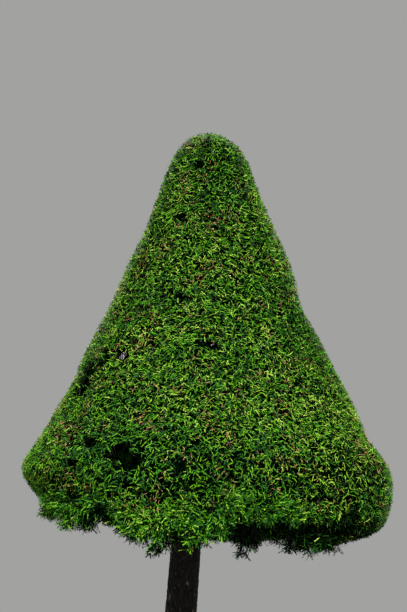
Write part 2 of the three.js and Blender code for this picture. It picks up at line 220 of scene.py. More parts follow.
# Hem: stretches round the crown from which tufts hang: first and last turn, how far the tufts hang, the
# share of the outline that they hang from, and their number. Tufts that hang from past the lip get
# painted shade
HEM_STRETCHES = (
    (-80, -62, 0.12, 0.885, 34),
    (-68, -27, 0.22, 0.865, 84),
    (-49, -44, 0.27, 0.9, 3),
    (-29, -8, 0.29, 0.85, 48),
    (-10, 10, 0.23, 0.85, 38),
    (5, 32, 0.14, 0.845, 32),
    (28, 56, 0.12, 0.9, 28),
    (11, 21, 0.19, 0.93, 12),
    (95, 255, 0.13, 0.85, 60),
)

# Clumps of the hem: their number, seed and edge as values of the noise, how far tufts hang between them
# and in them for each unit of the stretch's own, the least of this that a tuft hangs, and how far its
# share strays
HEM_CLUMPS = 44
HEM_SEED = 41
HEM_CLUMP_EDGE = (-0.4, 0.5)
HEM_HANGS = (0.55, 1.2)
HEM_LEAST = 0.1
HEM_STRAY = 0.02

# Places where the foliage lies deeper: turn, its reach, share of the outline, its reach, and how much
TRIMS = (
    (-84, 26, 0.89, 0.07, 0.06),
    (-90, 17, 0.591, 0.03, 0.034),
    (-88, 34, 0.262, 0.06, 0.024),
    (90, 60, 0.04, 0.03, 0.03),
    (88, 34, 0.431, 0.045, 0.045),
    (88, 36, 0.72, 0.04, 0.055),
)

# The share where the painted shade of the hem's underside starts, how far bell curves of the turn move
# it, and how much sooner it starts between clumps
LIP_SHARE = 0.88
LIP_BELLS = ((-78, 24, 0.05), (16, 18, 0.03), (56, 20, -0.03))
LIP_GAP = 0.035

# Painted light and shade, dim and light parts of the crown: turn, height, reach, and how far the draw of
# tints moves to yellow
PAINTED_LIGHT_AND_SHADE = (
    (-33, 2.5, 0.42, -0.15),
    (-64, 2.95, 0.3, -0.12),
    (45, 2.6, 0.5, 0.2),
    (70, 3.7, 0.6, -0.15),
)

# Clouds that move the draw of tints, and the dips of the crown: columns round the crown, rows down it,
# seed, and for the clouds how far they move the draw. A dip's edge is given as values of the noise
TINT_CLOUDS = ((12, 9, 43, 0.13), (34, 24, 44, 0.1))
DIPS = (40, 22, 42)
DIP_EDGE = (0.15, 0.7)

# Growth: the part of a bough that bears branches, the ranges of the depths of branches' and twigs' ends
# for each unit of the setting, the least depth of shoots' ends, and the raggedness of a hollow's edge
BRANCHED = (0.5, 1)
BRANCH_DEPTHS = (0.9, 1.2)
TWIG_DEPTHS = (0.75, 1.3)
SHOOT_DEPTH = 0.01
RAGGED = (0.75, 1.15)

# Radii of branches and twigs at root and tip, and of shoots at the root
BRANCH_RADII = (0.011, 0.005)
TWIG_RADII = (0.0045, 0.0022)
SHOOT_RADIUS = 0.0018

# Outer leaves: the share of a shoot that bears them, the range of their lengths for each unit of the
# setting, and that of their tips' depths
LEAFY = 0.75
LEAF_LENGTHS = (0.7, 1.3)
LEAF_TIPS = (-0.004, 0.014)

# An outer leaf's way: parts along its shoot, to its side and out of the crown, the stray, and the parts
# up and down by its hang. Its face: the tilt, the share of it that is taken off, and the part that is up
LEAF_ALONG = 0.5
LEAF_ASIDE = (0.4, 1.1)
LEAF_OUTWARDS = 0.7
LEAF_STRAY = 0.55
LEAF_RISE = 0.8
LEAF_HANG = 1.2
FACE_TILT = 0.5
FACE_LEVELLED = 0.85
FACE_UP = 0.25

# Inner leaves: the part of a twig that bears them, their lengths and tips' depths, their stray and tilt,
# and their width for each unit of an outer leaf's. They are all painted in the shade tint, as the shade
# of the crown's inside
INNER_LEAFY = (0.3, 1)
INNER_LENGTHS = (0.7, 1.2)
INNER_TIPS = (0.05, 0.09)
INNER_STRAY = 0.35
INNER_TILT = 0.4
INNER_WIDTH = 1.5

# All leaves: the range of their fold, how far they bend down where they hang, and the heights where they
# start to hang and hang fully
FOLDS = (-0.7, 0.5)
BEND_HANG = 0.8
HANG_HEIGHTS = (4.6, 2.4)

# Clipping: the least and most that a leaf may point out, the most for one whose root lies outside, how
# far outside a leaf is free, and the least share of its length that is left when it is shortened
ROOM_LIMITS = (-0.9, 0.95)
OUTSIDE_ROOM = 0.2
FREE_OUTSIDE = 0.03
LEAST_LEFT = 0.1

# Leaves at the hem: how much larger they are, and the share of them that gets the shade tint, as
# painted shade in the gaps between them
HANGING_SIZE = 1.25
HANGING_SHADE = 0.2

# Young tips: the share of twigs that have them, the share of those twigs' last leaves that are young,
# their size, and the share of them that is red
YOUNG_TWIGS = 0.33
YOUNG_LEAVES = 0.6
YOUNG_SIZE = 0.7
YOUNG_RED = 0.2

# Along a shoot: the share of leaves at its foot that get the shade tint, as painted shade deep in the
# foliage, the power that crowds leaves towards its tip, and the share of them that are dealt a tint of
# their own. Under the hem: the share that gets painted shade, and the share of this that is in full
# shade, the near-black shade tint and not the deep one
FOOT_SHADE = 0.9
TIP_CROWDING = 1.6
OWN_TINT = 0.8
UNDER_PAINTED_SHADE = 0.92
UNDER_SHADE = 0.75

# Added to the distance from a branch of another mass, so that a twig grows from one of its own
OTHER_MASS = 9.0

# The turn from each place of an evenly spread spiral to the next, and the least radius that is used to
# make the distance by which a place strays a turn
GOLDEN_TURN = math.radians(137.508)
STRAY_LEAST_RADIUS = 0.15

# Pot: points round it and the step of its profile, how far the rim's edge slants, waves of uneven clay
# round it and up each metre and their depth, the throwing rings as radians for each metre and their depth,
# and how far the drill reaches past the floor
POT_AROUND = 160
POT_STEP = 0.012
RIM_SLANT = 0.004
CLAY_WAVES = 9
CLAY_WAVER = 0.0012
THROWING_RINGS = 260
RING_DEPTH = 0.0003
DRILL_REACH = 0.05

# Soil: points round it and the step of its profile, its radius for each unit of the room in the neck, its
# gap to the wall, and how far its edge and middle lie under the solid's top
SOIL_AROUND = 150
SOIL_STEP = 0.011
SOIL_EDGE = 0.965
SOIL_GAP = 0.002
SOIL_SINKS = (0.016, 0.004)

# Lumps of the soil: their number for each metre, how far under the top they reach, and the most that one
# stands up
LUMPS = 22
LUMPY = 0.03
MOST_LUMP = 0.006

# Tints of the leaves as plain colours, and the share of the sprays that have each. The inside is shade:
# the near-black shade tint is painted shade, also for the feet of shoots and the hem's underside. The
# young tips are copper and red
TINTS = {
    "deep": ((0.017, 0.084, 0.010), 0.26),
    "blue": ((0.026, 0.105, 0.026), 0.12),
    "mid": ((0.046, 0.190, 0.007), 0.22),
    "bright": ((0.115, 0.290, 0.012), 0.30),
    # The yellow tint is partly the leaves' own paler green and partly painted light, the glow and highlights
    # of sunlit leaves
    "yellow": ((0.262, 0.400, 0.062), 0.12),
    "shade": ((0.0016, 0.0062, 0.0013), 0),
    "copper": ((0.350, 0.205, 0.105), 0),
    "red": ((0.270, 0.085, 0.055), 0),
}
DEEP, SHADE, COPPER, RED = (list(TINTS).index(name) for name in ("deep", "shade", "copper", "red"))


def unit(vectors):
    """Vectors scaled to length one."""
    return vectors / np.maximum(np.linalg.norm(vectors, axis=-1, keepdims=True), 1e-9)


def lerp(low, high, share):
    """The value at a share of the way from low to high."""
    return low + (high - low) * share


def smoothstep(values, low, high):
    """0 below low, 1 above high, and 3t squared less 2t cubed between them."""
    t = np.clip((values - low) / (high - low), 0, 1)
    return t * t * (3 - 2 * t)


class Line:
    """A line through many close points, read at shares of its length."""

    def __init__(self, points):
        steps = np.linalg.norm(np.diff(points, axis=0), axis=1)
        reach = np.concatenate([[0], np.cumsum(steps)])
        self.points = points
        self.length = reach[-1]
        self.shares = reach / self.length
        self.tangents = unit(np.gradient(points, self.shares, axis=0))

    def read(self, values, share):
        """Each column of values, interpolated at the shares."""
        columns = [np.interp(share, self.shares, column) for column in values.T]
        return np.stack(columns, axis=-1)

    def at(self, share):
        """The points at the shares."""
        return self.read(self.points, share)

    def heading(self, share):
        """The unit tangents at the shares."""
        return unit(self.read(self.tangents, share))


def spline(points, knot_power):
    """A Catmull-Rom line. Each stretch is the cubic between two points whose end slopes are the mean of
    the chords on either side, each over its knot, which is the chord's length to the power given."""
    p = np.asarray(points, float)
    p = np.vstack([2 * p[0] - p[1], p, 2 * p[-1] - p[-2]])
    knots = np.linalg.norm(np.diff(p, axis=0), axis=1)[:, None] ** knot_power
    d0, d1, d2 = knots[:-2], knots[1:-1], knots[2:]
    a, b, c, d = p[:-3], p[1:-2], p[2:-1], p[3:]
    slope_b = d1 * ((b - a) / d0 - (c - a) / (d0 + d1) + (c - b) / d1)
    slope_c = d1 * ((c - b) / d1 - (d - b) / (d1 + d2) + (d - c) / d2)
    t = np.linspace(0, 1, 60, endpoint=False)[:, None, None]
    start = (2 * t**3 - 3 * t**2 + 1) * b + (t**3 - 2 * t**2 + t) * slope_b
    end = (3 * t**2 - 2 * t**3) * c + (t**3 - t**2) * slope_c
    curve = (start + end).transpose(1, 0, 2).reshape(-1, p.shape[1])
    return Line(np.vstack([curve, p[-2]]))


def bezier(start, bend, end, steps):
    """Quadratic curves from each start to each end, drawn towards each bend: points (n, steps, 3)."""
    t = np.linspace(0, 1, steps)[None, :, None]
    first, middle, last = start[:, None], bend[:, None], end[:, None]
    return (1 - t) ** 2 * first + 2 * t * (1 - t) * middle + t**2 * last


# The clipped crown

outline = spline(OUTLINE, 0)
trunk_line = spline(TRUNK_LINE, 0.5)


def swell_at(turn, z):
    """How far the clipping swells the crown: a sum of sine waves of the turn and the height."""
    swell = 0
    for size, lobes, start, climb in SWELLS:
        swell = swell + size * np.sin(lobes * turn + start + z / climb)
    return np.minimum(1, (OUTLINE[0][1] - z) / SWELL_FADE) * swell


def lean_at(z):
    """How far the cone stands to the right at a height."""
    below, above, start, end = LEAN
    return lerp(below, above, smoothstep(z, start, end))


def bell(turn, middle, wide):
    """A bell curve of the turn, with its middle and width in degrees."""
    off = turn - math.radians(middle)
    return np.exp(-((np.arctan2(np.sin(off), np.cos(off)) / math.radians(wide)) ** 2))


def hem_drop(turn, z):
    """How far the hem hangs down: a sum of bell curves of the turn, faded in below the hem's top."""
    drop = sum(deep * bell(turn, middle, wide) for middle, wide, deep in HEM_DIPS)
    return drop * smoothstep(HEM_TOP - z, 0, HEM_SPAN)


def crown_point(share, turn, depth):
    """Points of the clipped crown: the outline at a share, moved in by a depth, swelled and dropped."""
    share, turn, depth = np.broadcast_arrays(share, turn, depth)
    edge = outline.at(share)
    along = outline.heading(share)
    radius = np.maximum(0, edge[..., 0] + along[..., 1] * depth)
    z = edge[..., 1] - along[..., 0] * depth
    grown = radius * (1 + swell_at(turn, z) / np.maximum(radius, SWELL_LEAST_RADIUS))
    x = CROWN_AXIS[0] + lean_at(z) + grown * np.sin(turn)
    y = CROWN_AXIS[1] - grown * np.cos(turn)
    return np.stack([x, y, z - hem_drop(turn, z)], axis=-1)


def in_parts(rows, most):
    """Rows in parts, each of at most so many, so that tables of their distances stay small."""
    return np.array_split(rows, len(rows) // most + 1)


def depth_under(points):
    """How deep points lie under the clipped outline, and the way out at each. The swell and the drop
    are undone, then the nearest place of the outline is found in radius and height."""
    x = points[:, 0] - CROWN_AXIS[0] - lean_at(points[:, 2])
    y = points[:, 1] - CROWN_AXIS[1]
    turn = np.arctan2(x, -y)
    z = points[:, 2]
    for _ in range(3):
        z = points[:, 2] + hem_drop(turn, z)
    grown = np.hypot(x, y)
    radius = grown - swell_at(turn, z) * np.minimum(1, grown / SWELL_LEAST_RADIUS)
    shares = np.linspace(0, 1, 240)
    edge = outline.at(shares).astype(np.float32)
    along = outline.heading(shares)
    nearest = np.empty(len(points), int)
    for part in in_parts(np.arange(len(points)), 20000):
        gap = (radius[part, None] - edge[:, 0]) ** 2 + (z[part, None] - edge[:, 1]) ** 2
        nearest[part] = np.argmin(gap, axis=1)
    out_r = -along[nearest, 1]
    out_z = along[nearest, 0]
    depth = (edge[nearest, 0] - radius) * out_r + (edge[nearest, 1] - z) * out_z
    out = np.stack([out_r * np.sin(turn), -out_r * np.cos(turn), out_z], axis=-1)
    return depth, out


SURFACE_SHARES = np.linspace(0, 1, 400)
SURFACE_ABOVE = np.cumsum(outline.at(SURFACE_SHARES)[:, 0])
SURFACE_AREA = 2 * math.pi * SURFACE_ABOVE[-1] * outline.length / len(SURFACE_SHARES)


def scatter(count, first_turn, jitter, rng):
    """Shares and turns of places spread evenly over the crown: a spiral whose every step turns by the
    golden angle and covers an equal part of the surface, then a shift of up to jitter spacings."""
    step = np.arange(count) + 0.5
    share = np.interp(step / count, SURFACE_ABOVE / SURFACE_ABOVE[-1], SURFACE_SHARES)
    spacing = jitter * math.sqrt(SURFACE_AREA / count)
    radius = np.maximum(STRAY_LEAST_RADIUS, outline.at(share)[:, 0])
    turn = first_turn + GOLDEN_TURN * step + spacing / radius * rng.uniform(-1, 1, count)
    share = share + spacing / outline.length * rng.uniform(-1, 1, count)
    return np.clip(share, 0, 1), turn


def mass_middles():
    """The middle of each mass, in the core under the clipped outline."""
    middles = {}
    for name, (turn, height, _) in MASSES.items():
        share = SURFACE_SHARES[np.argmax(outline.at(SURFACE_SHARES)[:, 1] <= height)]
        middles[name] = crown_point(share, math.radians(turn), CORE_DEPTH)
    return middles


MIDDLES = mass_middles()
MASS_NAMES = list(MASSES)


def nearest_mass(points):
    """The number of the mass whose middle is nearest to each point."""
    middles = np.array([MIDDLES[name] for name in MASS_NAMES])
    return np.argmin(np.linalg.norm(points[:, None] - middles, axis=2), axis=1)


def bough_line(name, index):
    """A bough's line, from the heart of the trunk over an arch to the middle of its mass, or the line
    on which the top mass grows on from the trunk's tip."""
    _, _, kind = MASSES[name]
    middle = MIDDLES[name]
    if kind is None:
        return Line(np.linspace(trunk_line.at(TOP_STEM_SHARE), middle, 40))
    _, _, rise, arch = BOUGHS[kind]
    spread = math.dist(middle[:2], CROWN_AXIS)
    stagger = BOUGH_STAGGER if index % 2 == 0 else -BOUGH_STAGGER
    height = middle[2] - rise * spread + stagger
    root = trunk_line.at(np.interp(height, trunk_line.points[:, 2], trunk_line.shares))
    bend = lerp(root, middle, BOUGH_BEND_SHARE) + np.array([0, 0, arch])
    return Line(bezier(root[None], bend[None], middle[None], 80)[0])


LIMBS = {name: bough_line(name, index) for index, name in enumerate(MASS_NAMES)}


def trunk_radius(share, turn):
    """Radius of the trunk: a slow taper to the crown's hem and a faster one above it, and at the foot a
    flare that falls off with height, swelled into lobes by a cosine of the turn."""
    height = trunk_line.at(share)[..., 2] - SOIL_LEVEL
    foot, hem, tip = TRUNK_RADII
    below = np.minimum(1, share / TRUNK_HEM_SHARE)
    above = np.maximum(0, (share - TRUNK_HEM_SHARE) / (1 - TRUNK_HEM_SHARE))
    stem = lerp(foot, hem, below) - (hem - tip) * above**TRUNK_TAPER
    lobes, start, size, fall = ROOT_LOBES
    flare = ROOT_FLARE * np.exp(-height / ROOT_FLARE_HEIGHT)
    return (stem + flare) * (1 + size * np.exp(-height / fall) * np.cos(lobes * turn + start))


# Noise for relief


def lattice_noise(x, y, columns, seed):
    """Smooth random values from -1 to 1: random heights at whole numbers of x and y, eased between by
    smoothstep, and repeated in x after a whole number of columns."""
    table = np.random.default_rng(seed).uniform(-1, 1, (columns, LATTICE))
    column = np.floor(x).astype(int)
    row = np.floor(y).astype(int)
    u = smoothstep(x - column, 0, 1)
    v = smoothstep(y - row, 0, 1)
    near = table[column % columns, row % LATTICE]
    right = table[(column + 1) % columns, row % LATTICE]
    above = table[column % columns, (row + 1) % LATTICE]
    across = table[(column + 1) % columns, (row + 1) % LATTICE]
    return lerp(lerp(near, right, u), lerp(above, across, u), v)


def plates(x, y, columns, seed):
    """Bark plates: 0 in the cracks between them and 1 on their tops. Each cell of a grid holds one
    random point, and the crack is where the nearest two points are equally far."""
    rng = np.random.default_rng(seed)
    shift_x = rng.uniform(0.1, 0.9, (columns, LATTICE))
    shift_y = rng.uniform(0.05, 0.95, (columns, LATTICE))
    column = np.floor(x).astype(int)
    row = np.floor(y).astype(int)
    first = np.full(x.shape, np.inf)
    second = first
    for over in (-1, 0, 1):
        for up in (-1, 0, 1):
            c = (column + over) % columns
            r = (row + up) % LATTICE
            gap = np.hypot(column + over + shift_x[c, r] - x, row + up + shift_y[c, r] - y)
            second = np.minimum(second, np.maximum(first, gap))
            first = np.minimum(first, gap)
    return smoothstep(second - first, *CRACK_EDGE)


# Meshes


def ride_and_mark(piece, node):
    """Rides a finished piece on the plant and hides the node that it stands for."""
    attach(piece, "root")
    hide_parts(node)


def mesh_object(name, points, faces, materials, tint=None, smooth=True):
    """A mesh object from points and arrays of faces, each array holding faces of one size, with the
    number of each face's material in tint."""
    loops = np.concatenate([group.ravel() for group in faces])
    sizes = np.concatenate([np.full(len(group), group.shape[1]) for group in faces])
    starts = np.concatenate([[0], np.cumsum(sizes)[:-1]])
    mesh = bpy.data.meshes.new(name)
    mesh.vertices.add(len(points))
    mesh.vertices.foreach_set("co", points.astype(np.float32).ravel())
    mesh.loops.add(len(loops))
    mesh.loops.foreach_set("vertex_index", loops.astype(np.int32))
    mesh.polygons.add(len(sizes))
    mesh.polygons.foreach_set("loop_start", starts.astype(np.int32))
    mesh.polygons.foreach_set("use_smooth", np.full(len(sizes), smooth))
    for material in materials:
        mesh.materials.append(material)
    if tint is not None:
        mesh.polygons.foreach_set("material_index", tint.astype(np.int32))
    mesh.update(calc_edges=True)
    piece = bpy.data.objects.new(name, mesh)
    bpy.context.scene.collection.objects.link(piece)
    return piece


def joined(parts):
    """The points and faces of several meshes as those of one."""
    faces = []
    first = 0
    for points, groups in parts:
        faces.extend(group + first for group in groups)
        first += len(points)
    return np.vstack([points for points, _ in parts]), faces


def sides_of(tangent, whole):
    """Two unit vectors square to each tangent (n, steps, 3) and to each other. The first is square also
    to the world axis along which the whole line (n, 3) runs least."""
    least = np.eye(3)[np.argmin(np.abs(whole), axis=1)]
    side = unit(np.cross(tangent, least[:, None]))
    return side, np.cross(tangent, side)


def tubes(lines, radii, sides):
    """Tubes along many lines: points (n, steps, 3), radii (n, steps) or (n, steps, sides). A ring stands
    across each step, from a side that is kept square to the tangent. Returns points and faces."""
    count, steps, _ = lines.shape
    side, cross = sides_of(unit(np.gradient(lines, axis=1)), lines[:, -1] - lines[:, 0])
    angle = np.arange(sides) / sides * 2 * math.pi
    if radii.ndim == 2:
        radii = radii[..., None]
    ring = np.cos(angle)[:, None] * side[..., None, :] + np.sin(angle)[:, None] * cross[..., None, :]
    points = lines[:, :, None] + ring * radii[..., None]
    number = np.arange(count * steps * sides).reshape(count, steps, sides)
    after = np.roll(number, -1, axis=2)
    walls = np.stack([number[:, :-1], after[:, :-1], after[:, 1:], number[:, 1:]], axis=-1)
    feet = number[:, 0, ::-1]
    tips = number[:, -1]
    return points.reshape(-1, 3), [walls.reshape(-1, 4), feet, tips]


def needles(lines, radius):
    """Cones of three sides along straight lines (n, 2, 3), from a ring across each root to a point.
    Returns points and faces."""
    along = unit(lines[:, 1] - lines[:, 0])
    side, cross = sides_of(along[:, None], along)
    angle = np.arange(3)[:, None] / 3 * 2 * math.pi
    ring = np.cos(angle) * side + np.sin(angle) * cross
    points = np.concatenate([lines[:, :1] + radius * ring, lines[:, 1:]], axis=1)
    faces = np.arange(len(lines))[:, None, None] * 4 + np.array([(0, 1, 3), (1, 2, 3), (2, 0, 3), (2, 1, 0)])
    return points.reshape(-1, 3), [faces.reshape(-1, 3)]


def lathe(profile, around, bumps=None):
    """A closed profile of radius and height turned about the pot's axis, with each point's radius and
    height moved by bumps (steps, around, 2). The profile starts and ends on the axis."""
    turn = np.arange(around) / around * 2 * math.pi
    body = np.repeat(profile[1:-1, None], around, axis=1)
    if bumps is not None:
        body = body + bumps
    radius, height = body[..., 0], body[..., 1]
    points = np.stack([radius * np.cos(turn), radius * np.sin(turn), height], axis=-1)
    number = np.arange(body.shape[0] * around).reshape(body.shape[0], around)
    after = np.roll(number, -1, axis=1)
    walls = np.stack([number[:-1], after[:-1], after[1:], number[1:]], axis=-1).reshape(-1, 4)
    poles = np.array([[0, 0, profile[0, 1]], [0, 0, profile[-1, 1]]])
    first = np.full(around, number.size)
    last = first + 1
    caps = [np.stack([first, after[0], number[0]], 1), np.stack([last, number[-1], after[-1]], 1)]
    return np.vstack([points.reshape(-1, 3), poles]), [walls, np.vstack(caps)]


def rounded(corners, radius, steps):
    """A profile whose inner corners are cut by quadratic arcs that start and end a radius away, or a
    little less than halfway along a short side."""
    p = np.asarray(corners, float)
    before = unit(p[:-2] - p[1:-1])
    after = unit(p[2:] - p[1:-1])
    sides = np.linalg.norm(np.diff(p, axis=0), axis=1)
    size = np.minimum(radius, 0.45 * np.minimum(sides[:-1], sides[1:]))[:, None]
    arcs = bezier(p[1:-1] + before * size, p[1:-1], p[1:-1] + after * size, steps)
    return np.vstack([p[:1], arcs.reshape(-1, 2), p[-1:]])


def refined(profile, step):
    """A profile with points added so that none of its stretches is longer than a step."""
    parts = []
    for a, b in zip(profile[:-1], profile[1:]):
        pieces = max(1, math.ceil(np.linalg.norm(b - a) / step))
        parts.append(lerp(a, b, (np.arange(pieces) / pieces)[:, None]))
    return np.vstack(parts + [profile[-1:]])


# Materials


class Flow:
    """A value or colour in a material's nodes. Arithmetic on it adds Math nodes."""

    def __init__(self, paint, socket):
        self.paint = paint
        self.socket = socket

    def math(self, operation, first, second):
        """A Math node of an operation."""
        return self.paint.add("ShaderNodeMath", {"operation": operation}, {0: first, 1: second})

    def __add__(self, other):
        return self.math("ADD", self, other)

    def __sub__(self, other):
        return self.math("SUBTRACT", self, other)

    def __rsub__(self, other):
        return self.math("SUBTRACT", other, self)

    def __mul__(self, other):
        return self.math("MULTIPLY", self, other)

    __radd__ = __add__
    __rmul__ = __mul__

    def clamp(self):
        """The value kept between 0 and 1."""
        return self.paint.add("ShaderNodeClamp", {}, {"Value": self})

    def mix(self, low, high):
        """The colour at this share of the way from low to high."""
        return self.paint.add(
            "ShaderNodeMix", {"data_type": "RGBA"}, {0: self.clamp(), 6: low, 7: high}, output=2
        )


class Paint:
    """A material and the nodes that are added to it."""

    def __init__(self, name, roughness):
        self.material = bpy.data.materials.new(name)
        self.material.use_nodes = True
        self.tree = self.material.node_tree
        self.shader = self.tree.nodes["Principled BSDF"]
        self.shader.inputs["Roughness"].default_value = roughness

    def add(self, kind, settings, sockets, output=0):
        """Any node: its type, its settings, which are set first, and the values or links of its
        sockets. Gives one of its outputs."""
        node = self.tree.nodes.new(kind)
        for name, value in settings.items():
            setattr(node, name, value)
        for name, value in sockets.items():
            self.feed(node.inputs[name], value)
        return Flow(self, node.outputs[output])

    def feed(self, socket, value):
        """Links a flow to a socket, or sets the socket's own value."""
        if isinstance(value, Flow):
            self.tree.links.new(value.socket, socket)
        elif hasattr(value, "__len__") and len(value) == 3 and len(socket.default_value) == 4:
            socket.default_value = (*value, 1)
        else:
            socket.default_value = value

    def place(self, stretch=(1, 1, 1)):
        """Object coordinates, stretched along the axes."""
        place = self.add("ShaderNodeTexCoord", {}, {}, output=3)
        return self.add("ShaderNodeMapping", {}, {"Vector": place, "Scale": stretch})

    def noise(self, scale, detail, stretch=(1, 1, 1)):
        """Noise from 0 to 1 with its middle near a half."""
        sockets = {"Vector": self.place(stretch), "Scale": scale, "Detail": detail}
        return self.add("ShaderNodeTexNoise", {}, sockets)

    def height(self):
        """The height of each point above the ground."""
        return self.add("ShaderNodeSeparateXYZ", {}, {"Vector": self.place()}, output=2)

    def field(self, name):
        """A number that the mesh holds at each point."""
        return self.add("ShaderNodeAttribute", {"attribute_name": name}, {}, output=2)

    def bump(self, height, distance):
        """Small relief, fed to the shader's normal."""
        sockets = {"Height": height, "Distance": distance, "Strength": 0.8}
        self.feed(self.shader.inputs["Normal"], self.add("ShaderNodeBump", {}, sockets))

    def finish(self, color, roughness=None):
        """Feeds the shader's colour and roughness, and gives the material."""
        self.feed(self.shader.inputs["Base Color"], color)
        if roughness is not None:
            self.feed(self.shader.inputs["Roughness"], roughness)
        return self.material


def bark_material(bark):
    """Fissured bark: dark in the cracks, grey-brown on the plates, with pale flecks of lichen. Its colours
    are set darker than the bark's own, as painted shade of the crown above the trunk and the boughs.
    """
    paint = Paint("bark", 0.85)
    relief = paint.field("relief")
    broad = paint.noise(6, 3)
    grain = paint.noise(70, 4, (1, 1, 0.25))
    fleck = (paint.noise(24, 5, (1, 1, 0.6)) - 0.61) * 14
    plate = (grain * 0.9 + broad * 0.5 - 0.35).mix(bark.shadow_color, bark.plate_color)
    color = (relief * 1.15 - 0.1).mix(bark.crack_color, plate)
    paint.bump(grain, 0.002)
    return paint.finish((fleck.clamp() * grain * 0.9).mix(color, bark.fleck_color), 0.95 - grain * 0.2)


def twig_material(bark):
    """Young wood with paler streaks along it, set darker and greener than its own brown as painted shade."""
    paint = Paint("twig", 0.7)
    streak = paint.noise(45, 3)
    return paint.finish((streak * 1.6 - 0.3).mix(bark.twig_color, bark.twig_pale_color))


def leaf_materials(crown):
    """One plain colour for each tint, lightened or darkened together."""
    made = []
    for name, (color, _) in TINTS.items():
        paint = Paint(f"leaf_{name}", crown.leaf_roughness)
        paint.shader.inputs["Specular IOR Level"].default_value = 0 if name == "shade" else crown.leaf_gloss
        made.append(paint.finish(tuple(c * crown.brightness for c in color)))
    return made


def terracotta_material(pot):
    """Fired clay: three tones in clouds and specks, pale bloom in patches, a damp dark foot."""
    paint = Paint("terracotta", 0.85)
    cloud = paint.noise(3.2, 4)
    speck = paint.noise(140, 2)
    bloom = (paint.noise(5.5, 6) - 0.52) * 4
    damp = (0.16 - paint.height()) * 5 + (cloud - 0.5) * 1.6
    color = (cloud * 1.8 - 0.4).mix(pot.clay_color, pot.clay_pale_color)
    color = ((speck - 0.6) * 4).mix(color, pot.speck_color)
    color = (bloom.clamp() * speck * 0.8).mix(color, pot.bloom_color)
    color = (damp.clamp() * 0.6).mix(color, pot.damp_color)
    paint.bump(speck * 0.4 + paint.noise(38, 3), 0.0015)
    return paint.finish(color, 0.95 - cloud * 0.2)


def soil_material(pot):
    """Potting soil: dark crumbs with paler fibres."""
    paint = Paint("soil", 0.95)
    crumb = paint.noise(55, 5)
    fibre = (paint.noise(160, 1) - 0.64) * 10
    color = (crumb * 2 - 0.6).mix(pot.soil_color, pot.soil_pale_color)
    paint.bump(crumb, 0.004)
    return paint.finish((fibre.clamp() * 0.5).mix(color, pot.fibre_color))


def floor_material(stage):
    """A plain pale floor, very slightly clouded."""
    paint = Paint("floor", 0.8)
    shade = tuple(c * 0.94 for c in stage.floor_color)
    return paint.finish(paint.noise(0.6, 3).mix(tuple(stage.floor_color), shade))


# Growth of the crown


def on_side(turn, height, depth):
    """Points of the crown at turns in degrees and heights of its outline, at a depth."""
    share = np.interp(-np.asarray(height), -outline.points[:, 1], outline.shares)
    return crown_point(share, np.radians(turn), depth)


def hollows(rng):
    """Points and radii of the crown's dark hollows: those that show, and seeded ones on the far side."""
    hidden = [rng.uniform(low, high, HIDDEN_HOLLOWS) for low, high in HIDDEN_RANGES]
    turn, height, radius = np.hstack([np.array(HOLLOWS).T, hidden])
    return on_side(turn, height, HOLLOW_MIDDLE_DEPTH), radius


def near_any(points, centres, radii):
    """True for each point that lies within a radius of a centre. Heights count for more, so the places
    are wider than high."""
    gap = (points[:, None] - centres) * [1, 1, HOLLOW_FLATNESS]
    return np.any(np.linalg.norm(gap, axis=2) < radii, axis=1)


def in_way(points, clearance):
    """True for each point nearer to a straight way through the crown than its radius and the clearance."""
    turn, height, radius = np.array(WAYS).T
    along = unit(on_side(turn, height, 0) - EYE)
    reach = points[:, None] - EYE
    beside = reach - np.sum(reach * along, axis=2, keepdims=True) * along
    return np.any(np.linalg.norm(beside, axis=2) < radius + clearance, axis=1)


def keeps_clear(lines, clearance):
    """True for each line (n, steps, 3) that stays out of the ways, read at its own points and halfway."""
    halfway = (lines[:, 1:] + lines[:, :-1]) / 2
    read = np.concatenate([lines, halfway], axis=1)
    return ~in_way(read.reshape(-1, 3), clearance).reshape(len(lines), -1).any(axis=1)


def crown_noise(share, turn, columns, rows, seed):
    """Smooth random values from -1 to 1 over the crown, with so many columns round it and rows down it."""
    return lattice_noise(turn / (2 * math.pi) * columns, share * rows, columns, seed)


def tint_cloud_and_painted_light(points, share, turn):
    """How far the draw of tints moves to yellow at each shoot's end: clouds of two sizes, and bell curves
    of the distance from the places of painted light and shade, the dim and light parts of the crown."""
    cloud = sum(more * crown_noise(share, turn, *lattice) for *lattice, more in TINT_CLOUDS)
    for *place, reach, lighter in PAINTED_LIGHT_AND_SHADE:
        away = np.linalg.norm(points - on_side(*place, 0), axis=1)
        cloud += lighter * np.exp(-((away / reach) ** 2))
    return cloud


def hem_clump(turn):
    """1 in the clumps that hang at the hem, and 0 between them."""
    return smoothstep(crown_noise(np.zeros_like(turn), turn, HEM_CLUMPS, 0, HEM_SEED), *HEM_CLUMP_EDGE)


def hem_places(rng):
    """Shares, turns and drops of the tufts that hang from the hem, a stretch at a time. They hang less
    between clumps, and towards the stretch's ends by the sixth power of the way from its middle."""
    places = []
    for first, last, hang, share, number in HEM_STRETCHES:
        along = (np.arange(number) + rng.uniform(0, 1, number)) / number
        turn = np.radians(lerp(first, last, along))
        reach = hang * (1 - np.abs(2 * along - 1) ** 6) * lerp(*HEM_HANGS, hem_clump(turn))
        drop = reach * lerp(HEM_LEAST, 1, GOLDEN_TURN * np.arange(number) % 1)
        places.append((share + rng.uniform(-HEM_STRAY, HEM_STRAY, number), turn, drop))
    return np.hstack(places)


def trim_at(share, turn):
    """How much deeper the foliage lies: a sum of bell curves of the turn and of the share."""
    trim = 0
    for middle, wide, along, long, deep in TRIMS:
        trim = trim + deep * bell(turn, middle, wide) * np.exp(-(((share - along) / long) ** 2))
    return trim


